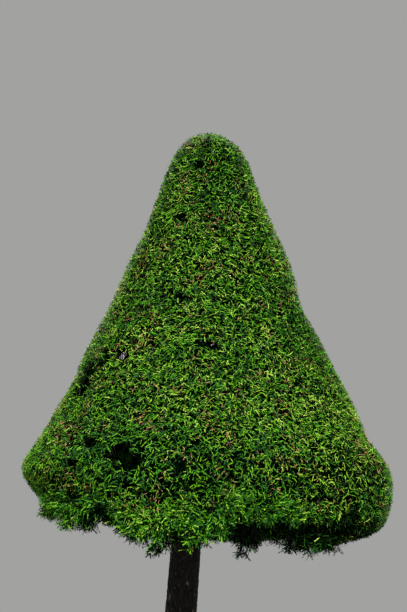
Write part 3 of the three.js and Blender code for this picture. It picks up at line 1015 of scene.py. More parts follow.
def in_shade(share, turn):
    """True for places past the lip, where the hem's underside lies in shade and its leaves are painted dark.
    """
    lip = LIP_SHARE + sum(more * bell(turn, middle, wide) for middle, wide, more in LIP_BELLS)
    return share > lip - LIP_GAP * (1 - hem_clump(turn))


def nearest_host(points, hosts):
    """The number of the host that lies nearest to each point."""
    nearest = []
    for part in in_parts(points, 500):
        gap = ((part[:, None] - hosts) ** 2).sum(axis=2)
        nearest.append(np.argmin(gap, axis=1))
    return np.concatenate(nearest)


def curves(start, end, rise, waver, steps, rng):
    """Curves from start to end that arch by a share of their length, and stray by another."""
    length = np.linalg.norm(end - start, axis=1)[:, None]
    stray = unit(rng.normal(size=end.shape)) * waver * length
    bend = lerp(start, end, 0.5) + length * np.array([0, 0, rise]) + stray
    return bezier(start, bend, end, steps)


class Growth:
    """The crown's hollows, branches, twigs and shoots. Each of the last three is a set of lines
    (n, steps, 3) that grow on from the set before, and has the mass that each line belongs to."""

    def __init__(self, crown):
        rng = np.random.default_rng(crown.seed)
        self.hollows = hollows(rng)
        self.branches, self.branch_mass = self.grow_branches(crown, rng)
        self.grow_shoots(crown, rng, *self.grow_twigs(crown, rng))

    def grow_branches(self, crown, rng):
        """Branches: from the outer part of each bough to places in the core of its mass."""
        share, turn = scatter(crown.branches, first_turn=0.9, jitter=0.35, rng=rng)
        end = crown_point(share, turn, crown.branch_depth * rng.uniform(*BRANCH_DEPTHS, crown.branches))
        mass = nearest_mass(end)
        start = np.empty_like(end)
        for number, name in enumerate(MASS_NAMES):
            own = np.flatnonzero(mass == number)
            start[own] = LIMBS[name].at(rng.uniform(*BRANCHED, len(own)))
        return curves(start, end, rise=0.16, waver=0.05, steps=9, rng=rng), mass

    def grow_twigs(self, crown, rng):
        """Twigs: from the nearest point of a branch of the same mass to the heart of each tuft. Gives
        the places of the tufts, and how far each hangs."""
        main = (*scatter(crown.twigs, first_turn=0, jitter=0.25, rng=rng), np.zeros(crown.twigs))
        share, turn, drop = np.hstack([main, hem_places(rng)])
        trim = trim_at(share, turn)
        end = crown_point(share, turn, crown.twig_depth * rng.uniform(*TWIG_DEPTHS, len(share)) + trim)
        hollow = near_any(end, *self.hollows)
        end[hollow] = crown_point(share[hollow], turn[hollow], crown.hollow_depth)
        end[:, 2] -= drop
        mass = nearest_mass(end)
        hosts = self.branches[:, 2:].reshape(-1, 3)
        host_mass = np.repeat(self.branch_mass, self.branches.shape[1] - 2)
        gap = np.linalg.norm(end[:, None] - hosts, axis=2) + OTHER_MASS * (mass[:, None] != host_mass)
        start = hosts[np.argmin(gap, axis=1)]
        self.twigs = curves(start, end, rise=0.2, waver=0.08, steps=5, rng=rng)
        self.twig_mass = mass
        self.twig_hangs = drop > 0
        self.twig_trim = trim
        return share, turn, drop

    def shoot_places(self, crown, rng, share, turn):
        """The number of each shoot's twig, and the share and turn of its end: places spread evenly over
        the crown, each with the nearest twig that doesn't hang, then a fan round each twig that does."""
        main = np.flatnonzero(~self.twig_hangs)
        tip_share, tip_turn = scatter(crown.shoots, first_turn=0, jitter=0.45, rng=rng)
        host = nearest_host(crown_point(tip_share, tip_turn, crown.twig_depth), self.twigs[main, -1])
        hung = np.repeat(np.flatnonzero(self.twig_hangs), crown.fan_shoots)
        reach = crown.fan_radius * np.sqrt(rng.random(len(hung)))
        spin = rng.uniform(0, 2 * math.pi, len(hung))
        fan_share = share[hung] + reach * np.cos(spin) / outline.length
        fan_turn = turn[hung] + reach * np.sin(spin) / outline.at(share[hung])[:, 0]
        twig = np.concatenate([main[host], hung])
        tip_share = np.concatenate([tip_share, np.clip(fan_share, 0, 1)])
        return twig, tip_share, np.concatenate([tip_turn, fan_turn])

    def grow_shoots(self, crown, rng, share, turn, drop):
        """Shoots: from twigs to their places on the crown. They end deeper where the crown dips, and away
        from their twig. Those that end in a hollow or cross a way are left out."""
        twig, tip_share, tip_turn = self.shoot_places(crown, rng, share, turn)
        dip = crown_noise(tip_share, tip_turn, *DIPS)
        trim = trim_at(tip_share, tip_turn)
        depth = SHOOT_DEPTH + rng.uniform(0, crown.tuft_stagger, len(twig)) + trim
        depth += crown.dip_depth * smoothstep(dip, *DIP_EDGE)
        end = crown_point(tip_share, tip_turn, depth)
        end[:, 2] -= drop[twig]
        aside = np.linalg.norm(end - self.twigs[twig, -1], axis=1) - crown.twig_depth
        depth += crown.tuft_round * smoothstep(aside, 0, crown.fan_radius)
        end = crown_point(tip_share, tip_turn, depth)
        _, out = depth_under(end)
        end[:, 2] -= drop[twig]
        shoots = np.stack([self.twigs[twig, rng.integers(2, 5, len(twig))], end], axis=1)
        centres, radii = self.hollows
        ragged = radii * rng.uniform(*RAGGED, (len(end), 1))
        kept = ~near_any(end, centres, ragged) & keeps_clear(shoots, SHOOT_CLEARANCE)
        self.shoots, self.shoot_out = shoots[kept], out[kept]
        self.shoot_mass = self.twig_mass[twig[kept]]
        self.shoot_trim = trim[kept]
        self.shoot_hangs = self.twig_hangs[twig[kept]]
        # Painted shade: shoots past the lip carry near-black leaves
        self.shoot_shaded = in_shade(tip_share, tip_turn)[kept]
        self.shoot_young = ((rng.random(len(share)) < YOUNG_TWIGS) & ~self.twig_hangs)[twig[kept]]
        self.shoot_cloud_and_painted_light = tint_cloud_and_painted_light(end, tip_share, tip_turn)[kept]


def grown(context):
    """The growth that the crown's settings give. It is seeded, so each operator grows the same one."""
    return Growth(context.scene.tamarind_crown)


# Leaves


def pinnate_leaf(pairs):
    """A compound leaf one long and two wide: pairs of leaflets along a midrib, each a pointed face that
    leans towards the tip from its stretch of the midrib. Points are along, across, lift."""
    midrib_length = 0.92
    step = midrib_length / pairs
    number = np.arange(pairs)
    width = np.sin(math.pi * (0.3 + 0.5 * (number + 0.5) / pairs))
    midrib = np.stack([step * np.arange(pairs + 1), np.zeros(pairs + 1)], 1)
    tips = np.stack([step * (number + 1.4), width], 1)
    flat = np.vstack([midrib, tips, tips * [1, -1]])
    points = np.column_stack([flat, np.abs(flat[:, 1])])
    left = np.stack([number, number + 1, number + pairs + 1], 1)
    right = np.stack([number, number + 2 * pairs + 1, number + 1], 1)
    return points, [np.vstack([left, right])]


def plain_leaf():
    """A pointed leaf one long and two wide, of a face at each end and two in the middle."""
    points = np.array([[0, 0, 0], [0.3, -1, 1], [0.7, -0.9, 1], [1, 0, 0], [0.7, 0.9, -1], [0.3, 1, -1]])
    faces = np.array([[0, 1, 5], [1, 2, 4], [1, 4, 5], [2, 3, 4]])
    return points, [faces]


class Leaves:
    """Many leaves: the root, heading, upper face, length, tint and mass of each, how deep its root lies
    and the way out there."""

    def __init__(self, root, heading, face, length, tint, mass):
        self.root = root
        self.heading = unit(heading)
        self.face = face
        self.length = length
        self.tint = tint
        self.mass = mass
        self.depth, self.out = depth_under(root)

    def bends(self, size, crown, rng):
        """How far each leaf bends for each unit of its length: any way but out of the crown, and down
        where leaves hang."""
        bend = size * rng.normal(size=self.root.shape)
        bend -= np.maximum(0, np.sum(bend * self.out, axis=1, keepdims=True)) * self.out
        bend[:, 2] -= BEND_HANG * hang_at(self.root, crown)
        return bend

    def clipped(self, least_depth):
        """Turns each leaf that would pass the clipped outline until its tip lies at the least depth:
        the part of its heading that points out is cut to what the room allows. Those that hang well
        below the hem are free."""
        outwards = np.sum(self.heading * self.out, axis=1)
        room = np.clip((self.depth - least_depth) / self.length, *ROOM_LIMITS)
        room[self.depth < 0] = OUTSIDE_ROOM
        room[self.depth < -FREE_OUTSIDE] = 1
        most = np.minimum(outwards, room)[:, None]
        level = unit(self.heading - outwards[:, None] * self.out)
        self.heading = unit(level * np.sqrt(1 - most**2) + self.out * most)
        return self

    def shortened(self, least_depth):
        """Shortens each leaf whose tip would come nearer to the outline than the least depth: its length
        is multiplied by the room over the depth that is lost along it."""
        tip_depth, _ = depth_under(self.root + self.heading * self.length[:, None])
        lost = np.maximum(self.depth - tip_depth, 1e-6)
        inside = np.clip((self.depth - least_depth) / lost, LEAST_LEFT, 1)
        self.length = np.where(tip_depth < least_depth, inside, 1) * self.length
        return self

    def opened(self, clearance):
        """Leaves out those that come within the clearance of a way through the crown."""
        closes = np.zeros(len(self.root), bool)
        for along in (0, 0.25, 0.5, 0.75, 1):
            closes |= in_way(self.root + along * self.heading * self.length[:, None], clearance)
        for name, values in vars(self).items():
            setattr(self, name, values[~closes])
        return self

    def mesh(self, name, leaf, width, bend, fold, own, materials):
        """One joined mesh of the leaves numbered in own. Each copy's point is its root plus its length
        times along x heading + across x half width x side + lift x fold x face, and it bends away by
        the length times bend times along squared."""
        points, faces = leaf
        heading = self.heading[own]
        side = unit(np.cross(self.face[own], heading))
        face = np.cross(heading, side)
        along, across, lift = points.T
        across = across * width / 2
        lift = lift * width / 2
        length = self.length[own][:, None, None]
        shape = (
            along[:, None] * heading[:, None]
            + across[:, None] * side[:, None]
            + (lift * fold[own][:, None])[..., None] * face[:, None]
        )
        shape += along[:, None] ** 2 * bend[own][:, None]
        placed = self.root[own][:, None] + length * shape
        first = np.arange(len(own)) * len(points)
        copies = [(first[:, None, None] + group).reshape(-1, group.shape[1]) for group in faces]
        tint = np.concatenate([np.repeat(self.tint[own], len(group)) for group in faces])
        return mesh_object(name, placed.reshape(-1, 3), copies, materials, tint, smooth=False)


def dealt_tints(cloud, rng):
    """A tint number for each leaf or spray, in the shares that the tints give. The cloud at its place,
    random clouds with painted light and shade, moves the draw towards yellow tints above 0, and towards deep
    ones below 0."""
    shares = np.array([share for _, share in TINTS.values()])
    draw = np.clip(rng.random(len(cloud)) + cloud, 0, 0.9999)
    return np.searchsorted(np.cumsum(shares) / shares.sum(), draw, side="right")


def line_points(lines, share):
    """Points and unit tangents of lines (n, steps, 3) at one share each."""
    place = np.clip(share, 0, 1) * (lines.shape[1] - 1)
    before = np.minimum(place.astype(int), lines.shape[1] - 2)
    rows = np.arange(len(lines))
    a = lines[rows, before]
    b = lines[rows, before + 1]
    return lerp(a, b, (place - before)[:, None]), unit(b - a)


def hang_at(points, crown):
    """How strongly leaves hang: little at the top and much at the hem."""
    high, low = HANG_HEIGHTS
    return lerp(crown.droop_top, crown.droop_hem, smoothstep(-points[:, 2], -high, -low))


def outer_ways(tangent, out, side, hang, rng):
    """The heading and upper face of each outer leaf. It heads along its shoot, to its side and out of the
    crown by shares that vary, with some stray, and down by its hang. Its face looks out and up, tilted at
    random, but little along the level line round the crown."""
    across = unit(np.cross(tangent, out)) * side[:, None]
    aside = across * rng.uniform(*LEAF_ASIDE, (len(out), 1))
    stray = LEAF_STRAY * rng.normal(size=out.shape)
    facing = np.column_stack([out[:, :2], np.maximum(out[:, 2], -0.1)])
    outwards = facing * rng.uniform(0, LEAF_OUTWARDS, (len(out), 1))
    heading = tangent * LEAF_ALONG + aside + outwards + stray
    heading[:, 2] = LEAF_RISE * heading[:, 2] - LEAF_HANG * hang
    tilt = FACE_TILT * rng.normal(size=out.shape)
    level = unit(np.column_stack([-out[:, 1], out[:, 0], np.zeros(len(out))]))
    tilt -= FACE_LEVELLED * np.sum(tilt * level, axis=1, keepdims=True) * level
    return heading, facing + tilt + np.array([0, 0, FACE_UP])


def outer_tints(growth, shoot, rank, each, rng):
    """The tint of each outer leaf, and which are young. Most have a tint of their own and the rest their
    shoot's. Leaves near a shoot's foot, at the hem and under it often get the shade or deep tint as painted
    shade."""
    tint = dealt_tints(growth.shoot_cloud_and_painted_light, rng)[shoot]
    own = np.flatnonzero(rng.random(len(shoot)) < OWN_TINT)
    tint[own] = dealt_tints(growth.shoot_cloud_and_painted_light[shoot[own]], rng)
    # Painted shade at the foot of each shoot, deep in the foliage
    tint[rng.random(len(shoot)) < FOOT_SHADE * (1 - rank / each) ** 2] = SHADE
    # Painted shade in the gaps of the hanging tufts
    tint[growth.shoot_hangs[shoot] & (rng.random(len(shoot)) < HANGING_SHADE)] = SHADE
    # Painted shade under the hem, past the lip
    under = growth.shoot_shaded[shoot] & (rng.random(len(shoot)) < UNDER_PAINTED_SHADE)
    tint[under] = rng.choice([SHADE, DEEP], under.sum(), p=(UNDER_SHADE, 1 - UNDER_SHADE))
    young = (rank == each - 1) & growth.shoot_young[shoot] & ~growth.shoot_shaded[shoot]
    young &= rng.random(len(shoot)) < YOUNG_LEAVES
    tint[young] = rng.choice([COPPER, RED], young.sum(), p=(1 - YOUNG_RED, YOUNG_RED))
    return tint, young


def outer_leaves(crown, growth, rng):
    """Leaves in two ranks along each shoot, closer towards its tip, and kept inside the clipped outline."""
    each = crown.leaves_each
    shoot = np.repeat(np.arange(len(growth.shoots)), each)
    rank = np.tile(np.arange(each), len(growth.shoots))
    within = rng.uniform(0.3, 1, len(shoot))
    share = 1 - LEAFY * (1 - (rank + within) / each) ** TIP_CROWDING
    root, tangent = line_points(growth.shoots[shoot], share)
    side = np.where(rank % 2 == 0, 1, -1)
    heading, face = outer_ways(tangent, growth.shoot_out[shoot], side, hang_at(root, crown), rng)
    length = crown.leaf_length * rng.uniform(*LEAF_LENGTHS, len(shoot))
    length[growth.shoot_hangs[shoot]] *= HANGING_SIZE
    tint, young = outer_tints(growth, shoot, rank, each, rng)
    length[young] *= YOUNG_SIZE
    leaves = Leaves(root, heading, face, length, tint, growth.shoot_mass[shoot])
    least_depth = rng.uniform(*LEAF_TIPS, len(shoot)) + growth.shoot_trim[shoot]
    return leaves.clipped(least_depth).opened(LEAF_CLEARANCE)


def inner_leaves(crown, growth, rng):
    """Larger plain leaves round the twigs, that close the crown behind, all in the shade tint as painted
    shade.
    """
    twig = np.repeat(np.flatnonzero(~growth.twig_hangs), crown.twig_leaves)
    root, _ = line_points(growth.twigs[twig], rng.uniform(*INNER_LEAFY, len(twig)))
    _, out = depth_under(root)
    level = unit(np.cross(out, rng.normal(size=root.shape)))
    heading = level + INNER_STRAY * rng.normal(size=root.shape)
    face = out + INNER_TILT * rng.normal(size=root.shape)
    length = crown.inner_length * rng.uniform(*INNER_LENGTHS, len(root))
    # Painted shade: every inner leaf takes the near-black shade tint
    tint = np.full(len(root), SHADE)
    leaves = Leaves(root, heading, face, length, tint, growth.twig_mass[twig])
    least_depth = rng.uniform(*INNER_TIPS, len(root)) + growth.twig_trim[twig]
    return leaves.clipped(least_depth).shortened(least_depth).opened(INNER_CLEARANCE)


# Settings


def length_setting(name, text, value, low, high):
    """A length in metres that a user can change."""
    return FloatProperty(
        name=name,
        description=text,
        default=value,
        min=low,
        max=high,
        subtype="DISTANCE",
        unit="LENGTH",
    )


def color_setting(name, text, value):
    """A colour that a user can change."""
    return FloatVectorProperty(
        name=name, description=text, default=value, min=0, max=1, size=3, subtype="COLOR"
    )


def number_setting(name, text, value, low, high):
    """A plain number that a user can change."""
    return FloatProperty(name=name, description=text, default=value, min=low, max=high)


def count_setting(name, text, value, low, high):
    """A whole number that a user can change."""
    return IntProperty(name=name, description=text, default=value, min=low, max=high)


class TamarindBarkSettings(bpy.types.PropertyGroup):
    """Relief and colours of the bark. Its colours are darker than the bark's own, as painted shade of the
    crown.
    """

    crack_depth: length_setting("Crack depth", "Depth of the cracks on the trunk", 0.011, 0, 0.03)
    plate_width: length_setting("Plate width", "Width of a bark plate on the trunk", 0.04, 0.01, 0.2)
    plate_height: length_setting("Plate height", "Height of a bark plate on the trunk", 0.12, 0.02, 0.5)
    # Dark grey-brown bark, set darker still as painted shade of the crown over the trunk and the boughs
    crack_color: color_setting("Cracks", "Colour in the cracks", (0.001, 0.0008, 0.0006))
    shadow_color: color_setting("Plates, dark", "Darker colour of the plates", (0.003, 0.0025, 0.002))
    plate_color: color_setting("Plates, pale", "Paler colour of the plates", (0.022, 0.018, 0.0135))
    fleck_color: color_setting("Lichen", "Colour of the pale flecks", (0.34, 0.3, 0.22))
    # The twigs' colours are darker and greener than young wood's own, as painted shade of the leaves round
    # them
    twig_color: color_setting("Twigs", "Colour of the young wood", (0.012, 0.014, 0.006))
    twig_pale_color: color_setting("Twigs, pale", "Paler streaks of the young wood", (0.05, 0.046, 0.026))


class TamarindCrownSettings(bpy.types.PropertyGroup):
    """How the crown branches, and the size of its leaves."""

    seed: count_setting("Seed", "Start of the random choices", 11, 0, 9999)
    branches: count_setting("Branches", "Branches out of all the boughs", 120, 20, 400)
    twigs: count_setting("Twigs", "Twigs out of all the branches", 2200, 100, 4000)
    shoots: count_setting("Shoots", "Shoots out of all the twigs", 35000, 500, 60000)
    fan_shoots: count_setting("Fan shoots", "Shoots out of each twig that hangs at the hem", 18, 1, 40)
    leaves_each: count_setting("Leaves", "Outer leaves on each shoot", 5, 1, 12)
    twig_leaves: count_setting("Twig leaves", "Inner leaves on each twig", 12, 0, 80)
    branch_depth: length_setting("Branch depth", "Depth of the branches' ends", 0.18, 0.02, 0.4)
    twig_depth: length_setting("Twig depth", "Depth of the twigs' ends", 0.085, 0.02, 0.3)
    hollow_depth: length_setting("Hollow depth", "Depth of the crown's dark hollows", 0.16, 0.02, 0.4)
    fan_radius: length_setting("Fan radius", "How far the shoots of a hanging twig reach", 0.052, 0.02, 0.4)
    tuft_round: length_setting("Tuft rounding", "How much deeper shoots end between twigs", 0.006, 0, 0.2)
    dip_depth: length_setting("Dip depth", "How much deeper tufts lie in the dips", 0.008, 0, 0.2)
    tuft_stagger: length_setting("Tuft stagger", "How much deeper some shoots end", 0.012, 0, 0.2)
    inner_length: length_setting("Inner leaf length", "Length of the plain leaves inside", 0.17, 0.02, 0.3)
    leaf_length: length_setting("Leaf length", "Length of a compound leaf", 0.033, 0.02, 0.3)
    leaf_width: number_setting("Leaf width", "Width of a leaf for each unit of its length", 0.3, 0.05, 1)
    leaf_bend: number_setting("Leaf bend", "How far leaves bend, for each unit of their length", 0.2, 0, 1)
    leaf_roughness: number_setting("Leaf roughness", "Roughness of the leaves", 0.5, 0, 1)
    leaf_gloss: number_setting("Leaf gloss", "Strength of the leaves' reflections", 0.12, 0, 1)
    brightness: number_setting("Leaf brightness", "Lightens or darkens all the tints", 0.97, 0.1, 3)
    droop_top: number_setting("Droop at the top", "How leaves hang at the top", 0.05, 0, 2)
    droop_hem: number_setting("Droop at the hem", "How leaves hang at the hem", 0.18, 0, 2)


class TamarindPotSettings(bpy.types.PropertyGroup):
    """Sizes and colours of the pot and the soil."""

    foot_radius: length_setting("Foot radius", "Radius of the pot's foot", 0.465, 0.1, 2)
    neck_radius: length_setting("Neck radius", "Radius under the rim", 0.585, 0.1, 2)
    rim_radius: length_setting("Rim radius", "Radius of the rim", 0.635, 0.1, 2)
    rim_depth: length_setting("Rim depth", "Height of the rim's band", 0.115, 0.01, 0.5)
    wall: length_setting("Wall", "Thickness of the wall", 0.05, 0.005, 0.2)
    floor: length_setting("Floor", "Thickness of the floor", 0.06, 0.005, 0.2)
    bevel: length_setting("Bevel", "Size of the rounded edges", 0.014, 0.001, 0.05)
    drain_radius: length_setting("Drain radius", "Radius of a drain hole", 0.018, 0.001, 0.1)
    drain_circle: length_setting("Drain circle", "Radius of the circle of drain holes", 0.24, 0.01, 1)
    drains: count_setting("Drains", "Number of drain holes", 3, 0, 8)
    clod: length_setting("Clods", "Height of the soil's lumps", 0.012, 0, 0.05)
    clay_color: color_setting("Clay", "Main colour of the clay", (0.25, 0.094, 0.046))
    clay_pale_color: color_setting("Clay, pale", "Paler clouds of the clay", (0.36, 0.155, 0.085))
    speck_color: color_setting("Specks", "Colour of the specks", (0.12, 0.042, 0.025))
    bloom_color: color_setting("Bloom", "Pale salts that dry on the clay", (0.46, 0.35, 0.28))
    damp_color: color_setting("Damp", "Damp clay near the foot", (0.14, 0.07, 0.04))
    soil_color: color_setting("Soil", "Main colour of the soil", (0.022, 0.014, 0.009))
    soil_pale_color: color_setting("Soil, pale", "Paler crumbs", (0.095, 0.062, 0.04))
    fibre_color: color_setting("Fibres", "Colour of fibres in the soil", (0.24, 0.16, 0.09))


class TamarindStageSettings(bpy.types.PropertyGroup):
    """Camera, light and floor."""

    camera_right: length_setting("Camera right", "How far right of the pot the camera stands", EYE[0], -5, 5)
    camera_away: length_setting("Camera distance", "How far in front of the pot it stands", -EYE[1], 2, 60)
    camera_height: length_setting("Camera height", "Height of the eye", EYE[2], 0, 30)
    camera_pitch: number_setting("Camera pitch", "How far the camera looks up, in degrees", 14.15, -80, 80)
    camera_lens: number_setting("Lens", "Focal length in millimetres", 70.0, 10, 300)
    sun_strength: number_setting("Key strength", "Strength of the key light", 7.0, 0, 20)
    sun_turn: number_setting("Key turn", "Turn of the key light, in degrees", 0.0, -180, 180)
    sun_rise: number_setting("Key height", "Height of the key light, in degrees", 38.0, 0, 90)
    sun_softness: number_setting("Key softness", "Angle that the key light fills, in degrees", 6.0, 0, 90)
    sun_color: color_setting("Key colour", "Colour of the key light", (1.0, 0.97, 0.9))
    fill_strength: number_setting("Fill", "Strength of the pale surroundings", 0.36, 0, 5)
    floor_size: length_setting("Floor size", "Side of the floor", 160.0, 5, 500)
    floor_color: color_setting("Floor colour", "Colour of the floor", (0.4, 0.4, 0.385))
    around_color: color_setting("Surroundings", "Colour of the pale surroundings", (0.92, 0.92, 0.9))


SETTINGS = {
    "tamarind_bark": TamarindBarkSettings,
    "tamarind_crown": TamarindCrownSettings,
    "tamarind_pot": TamarindPotSettings,
    "tamarind_stage": TamarindStageSettings,
}


# Operators


def turns(around):
    """A row of turns, evenly round a circle."""
    return np.arange(around)[None] / around * 2 * math.pi


def bark_tube(node, line, share, limb, bark, finish):
    """A limb with cracked bark, with a ring at each share of its line. Its radius is the limb's own
    (rings, around), less the crack depth where the plates' pattern is low, with a little uneven swelling.
    The relief is kept as a field of the mesh."""
    around = limb.shape[1]
    girth = limb.mean(axis=1, keepdims=True)
    scale = np.clip(girth / TRUNK_RADII[1], LEAST_PLATE, 1)
    columns = max(5, round(2 * math.pi * girth.max() / (bark.plate_width * scale.max())))
    steps = np.concatenate([[0], np.cumsum(np.diff(share) * line.length / scale[1:, 0])])[:, None]
    x, y = np.broadcast_arrays(turns(around) / (2 * math.pi) * columns, steps / bark.plate_height)
    bend_x = CRACK_BENDS[0] * lattice_noise(x * 2, y * 3, columns * 2, 5)
    bend_y = CRACK_BENDS[1] * lattice_noise(x, y * 2, columns, 6)
    relief = plates(x + bend_x, y + bend_y, columns, 7)
    middle, grain = PLATE_HEIGHTS
    relief = relief * (middle + grain * lattice_noise(x * 4, y * 14, columns * 4, 8))
    swell = lattice_noise(x * 0.5, y * 0.6, max(2, columns // 2), 9)
    depth = bark.crack_depth * scale
    radii = limb - depth * (1 - relief) + BARK_SWELL * depth * swell
    points, faces = tubes(line.at(share)[None], radii[None], around)
    piece = mesh_object(f"bark_{node}", points, faces, [finish])
    piece.data.attributes.new("relief", "FLOAT", "POINT").data.foreach_set("value", relief.ravel())
    ride_and_mark(piece, node)


class TAMARIND_OT_trunk(bpy.types.Operator):
    """Make the trunk, with cracked bark from its root flare to its tip"""

    bl_idname = "tamarind.trunk"
    bl_label = "Trunk"

    def execute(self, context):
        bark = context.scene.tamarind_bark
        foot = trunk_line.at(0) - trunk_line.heading(0) * TRUNK_BURIED
        line = Line(np.vstack([foot, trunk_line.points]))
        close = np.linspace(*CLOSE_RINGS)
        wide = np.linspace(close[-1], 1, WIDE_RINGS)[1:]
        share = np.clip(np.concatenate([close, wide]), 0, 1)
        limb = trunk_radius(share[:, None], turns(TRUNK_AROUND))
        bark_tube("trunk", line, share, limb, bark, bark_material(bark))
        return {"FINISHED"}


class TAMARIND_OT_boughs(bpy.types.Operator):
    """Make the boughs, from the trunk to the masses of foliage"""

    bl_idname = "tamarind.boughs"
    bl_label = "Boughs"

    def execute(self, context):
        bark = context.scene.tamarind_bark
        finish = bark_material(bark)
        share = np.linspace(0, 1, BOUGH_RINGS)
        for name, (_, _, kind) in MASSES.items():
            if kind is None:
                continue
            root, tip, _, _ = BOUGHS[kind]
            collar = COLLAR_SHARE * root * np.exp(-share / COLLAR_LENGTH)
            radii = lerp(root, BOUGH_TIP_SCALE * tip, share) + collar
            limb = np.repeat(radii[:, None], BOUGH_AROUND, axis=1)
            bark_tube(f"bough_{name}", LIMBS[name], share, limb, bark, finish)
        return {"FINISHED"}


class TAMARIND_OT_twigs(bpy.types.Operator):
    """Grow the branches, twigs and shoots of each mass"""

    bl_idname = "tamarind.twigs"
    bl_label = "Branches and Twigs"

    def execute(self, context):
        growth = grown(context)
        finish = twig_material(context.scene.tamarind_bark)
        levels = (
            (growth.branches, growth.branch_mass, BRANCH_RADII, 5),
            (growth.twigs, growth.twig_mass, TWIG_RADII, 3),
        )
        for number, name in enumerate(MASS_NAMES):
            parts = []
            for lines, mass, (thick, thin), sides in levels:
                own = lines[mass == number]
                radii = np.tile(np.linspace(thick, thin, own.shape[1]), (len(own), 1))
                parts.append(tubes(own, radii, sides))
            parts.append(needles(growth.shoots[growth.shoot_mass == number], SHOOT_RADIUS))
            piece = mesh_object(f"twigs_{name}", *joined(parts), [finish])
            ride_and_mark(piece, f"foliage_{name}")
        return {"FINISHED"}


class TAMARIND_OT_leaves(bpy.types.Operator):
    """Grow the leaves of each mass: compound ones on the shoots, and plain ones inside"""

    bl_idname = "tamarind.leaves"
    bl_label = "Leaves"

    def execute(self, context):
        crown = context.scene.tamarind_crown
        growth = grown(context)
        rng = np.random.default_rng(crown.seed + 1)
        materials = leaf_materials(crown)
        outer = outer_leaves(crown, growth, rng)
        inner = inner_leaves(crown, growth, rng)
        kinds = (
            ("leaves", outer, pinnate_leaf(2), crown.leaf_width, crown.leaf_bend),
            ("inner_leaves", inner, plain_leaf(), crown.leaf_width * INNER_WIDTH, 0),
        )
        for kind, leaves, shape, width, bend_size in kinds:
            bend = leaves.bends(bend_size, crown, rng)
            fold = rng.uniform(*FOLDS, len(leaves.root))
            for number, name in enumerate(MASS_NAMES):
                own = np.flatnonzero(leaves.mass == number)
                piece = leaves.mesh(f"{kind}_{name}", shape, width, bend, fold, own, materials)
                ride_and_mark(piece, f"foliage_{name}")
        return {"FINISHED"}


class TAMARIND_OT_pot(bpy.types.Operator):
    """Make the terracotta pot"""

    bl_idname = "tamarind.pot"
    bl_label = "Pot"

    def execute(self, context):
        pot = context.scene.tamarind_pot
        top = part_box("pot")[1][2]
        neck = top - pot.rim_depth
        corners = [
            (0, 0),
            (pot.foot_radius, 0),
            (pot.neck_radius, neck),
            (pot.rim_radius - RIM_SLANT, neck + RIM_SLANT),
            (pot.rim_radius, top),
            (pot.neck_radius - pot.wall, top),
            (pot.foot_radius - pot.wall, pot.floor),
            (0, pot.floor),
        ]
        profile = refined(rounded(corners, pot.bevel, steps=6), POT_STEP)
        radius, height = profile[1:-1, :1], profile[1:-1, 1:]
        turn = np.arange(POT_AROUND)[None] / POT_AROUND
        waver = lattice_noise(turn * CLAY_WAVES + 0 * radius, height * CLAY_WAVES, CLAY_WAVES, 21)
        rings = np.sin(height * THROWING_RINGS) * 0.5 + 0 * turn
        bumps = np.stack([CLAY_WAVER * (waver - 1) + RING_DEPTH * (rings - 1), 0 * waver], axis=-1)
        floor = radius[:, 0] < pot.foot_radius * 0.9
        bumps[floor] = 0
        points, faces = lathe(profile, POT_AROUND, bumps)
        piece = mesh_object("terracotta_pot", points, faces, [terracotta_material(pot)])
        self.drill(context, piece, pot)
        ride_and_mark(piece, "pot")
        return {"FINISHED"}

    def drill(self, context, piece, pot):
        """Cuts the drain holes through the floor with one joined set of cylinders."""
        turn = turns(pot.drains)[0]
        middles = pot.drain_circle * np.stack([np.cos(turn), np.sin(turn)], axis=1)
        lines = np.empty((pot.drains, 3, 3))
        lines[..., :2] = middles[:, None]
        lines[..., 2] = np.linspace(-DRILL_REACH, pot.floor + DRILL_REACH, 3)
        points, faces = tubes(lines, np.full((pot.drains, 3), pot.drain_radius), 24)
        cutter = mesh_object("drain_cutter", points, faces, [])
        cut = piece.modifiers.new("drains", "BOOLEAN")
        cut.operation = "DIFFERENCE"
        cut.solver = "EXACT"
        cut.object = cutter
        graph = context.evaluated_depsgraph_get()
        cut_mesh = bpy.data.meshes.new_from_object(piece.evaluated_get(graph))
        piece.modifiers.clear()
        piece.data = cut_mesh
        bpy.data.objects.remove(cutter)


class TAMARIND_OT_soil(bpy.types.Operator):
    """Make the soil, with lumps on its top"""

    bl_idname = "tamarind.soil"
    bl_label = "Soil"

    def execute(self, context):
        pot = context.scene.tamarind_pot
        low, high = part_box("soil")
        bottom, top = low[2], high[2]
        edge = (pot.neck_radius - pot.wall) * SOIL_EDGE
        foot = pot.foot_radius - pot.wall - SOIL_GAP
        rim_sinks, middle_sinks = SOIL_SINKS
        corners = [(0, bottom), (foot, bottom), (edge - SOIL_GAP, top - rim_sinks), (0, top - middle_sinks)]
        profile = refined(np.array(corners), SOIL_STEP)
        radius, height = profile[1:-1, :1], profile[1:-1, 1:]
        turn = turns(SOIL_AROUND)
        x = radius * np.cos(turn) * LUMPS + 100
        y = radius * np.sin(turn) * LUMPS + 100
        lumps = lattice_noise(x, y, LATTICE, 31) + 0.5 * lattice_noise(x * 2.3, y * 2.3, LATTICE, 32)
        on_top = (height > top - LUMPY) & (radius < edge - 2 * SOIL_GAP)
        bumps = np.stack([0 * lumps, np.where(on_top, 0.5 * pot.clod * lumps, 0)], axis=-1)
        bumps[..., 1] = np.minimum(bumps[..., 1], MOST_LUMP)
        points, faces = lathe(profile, SOIL_AROUND, bumps)
        piece = mesh_object("potting_soil", points, faces, [soil_material(pot)])
        ride_and_mark(piece, "soil")
        return {"FINISHED"}


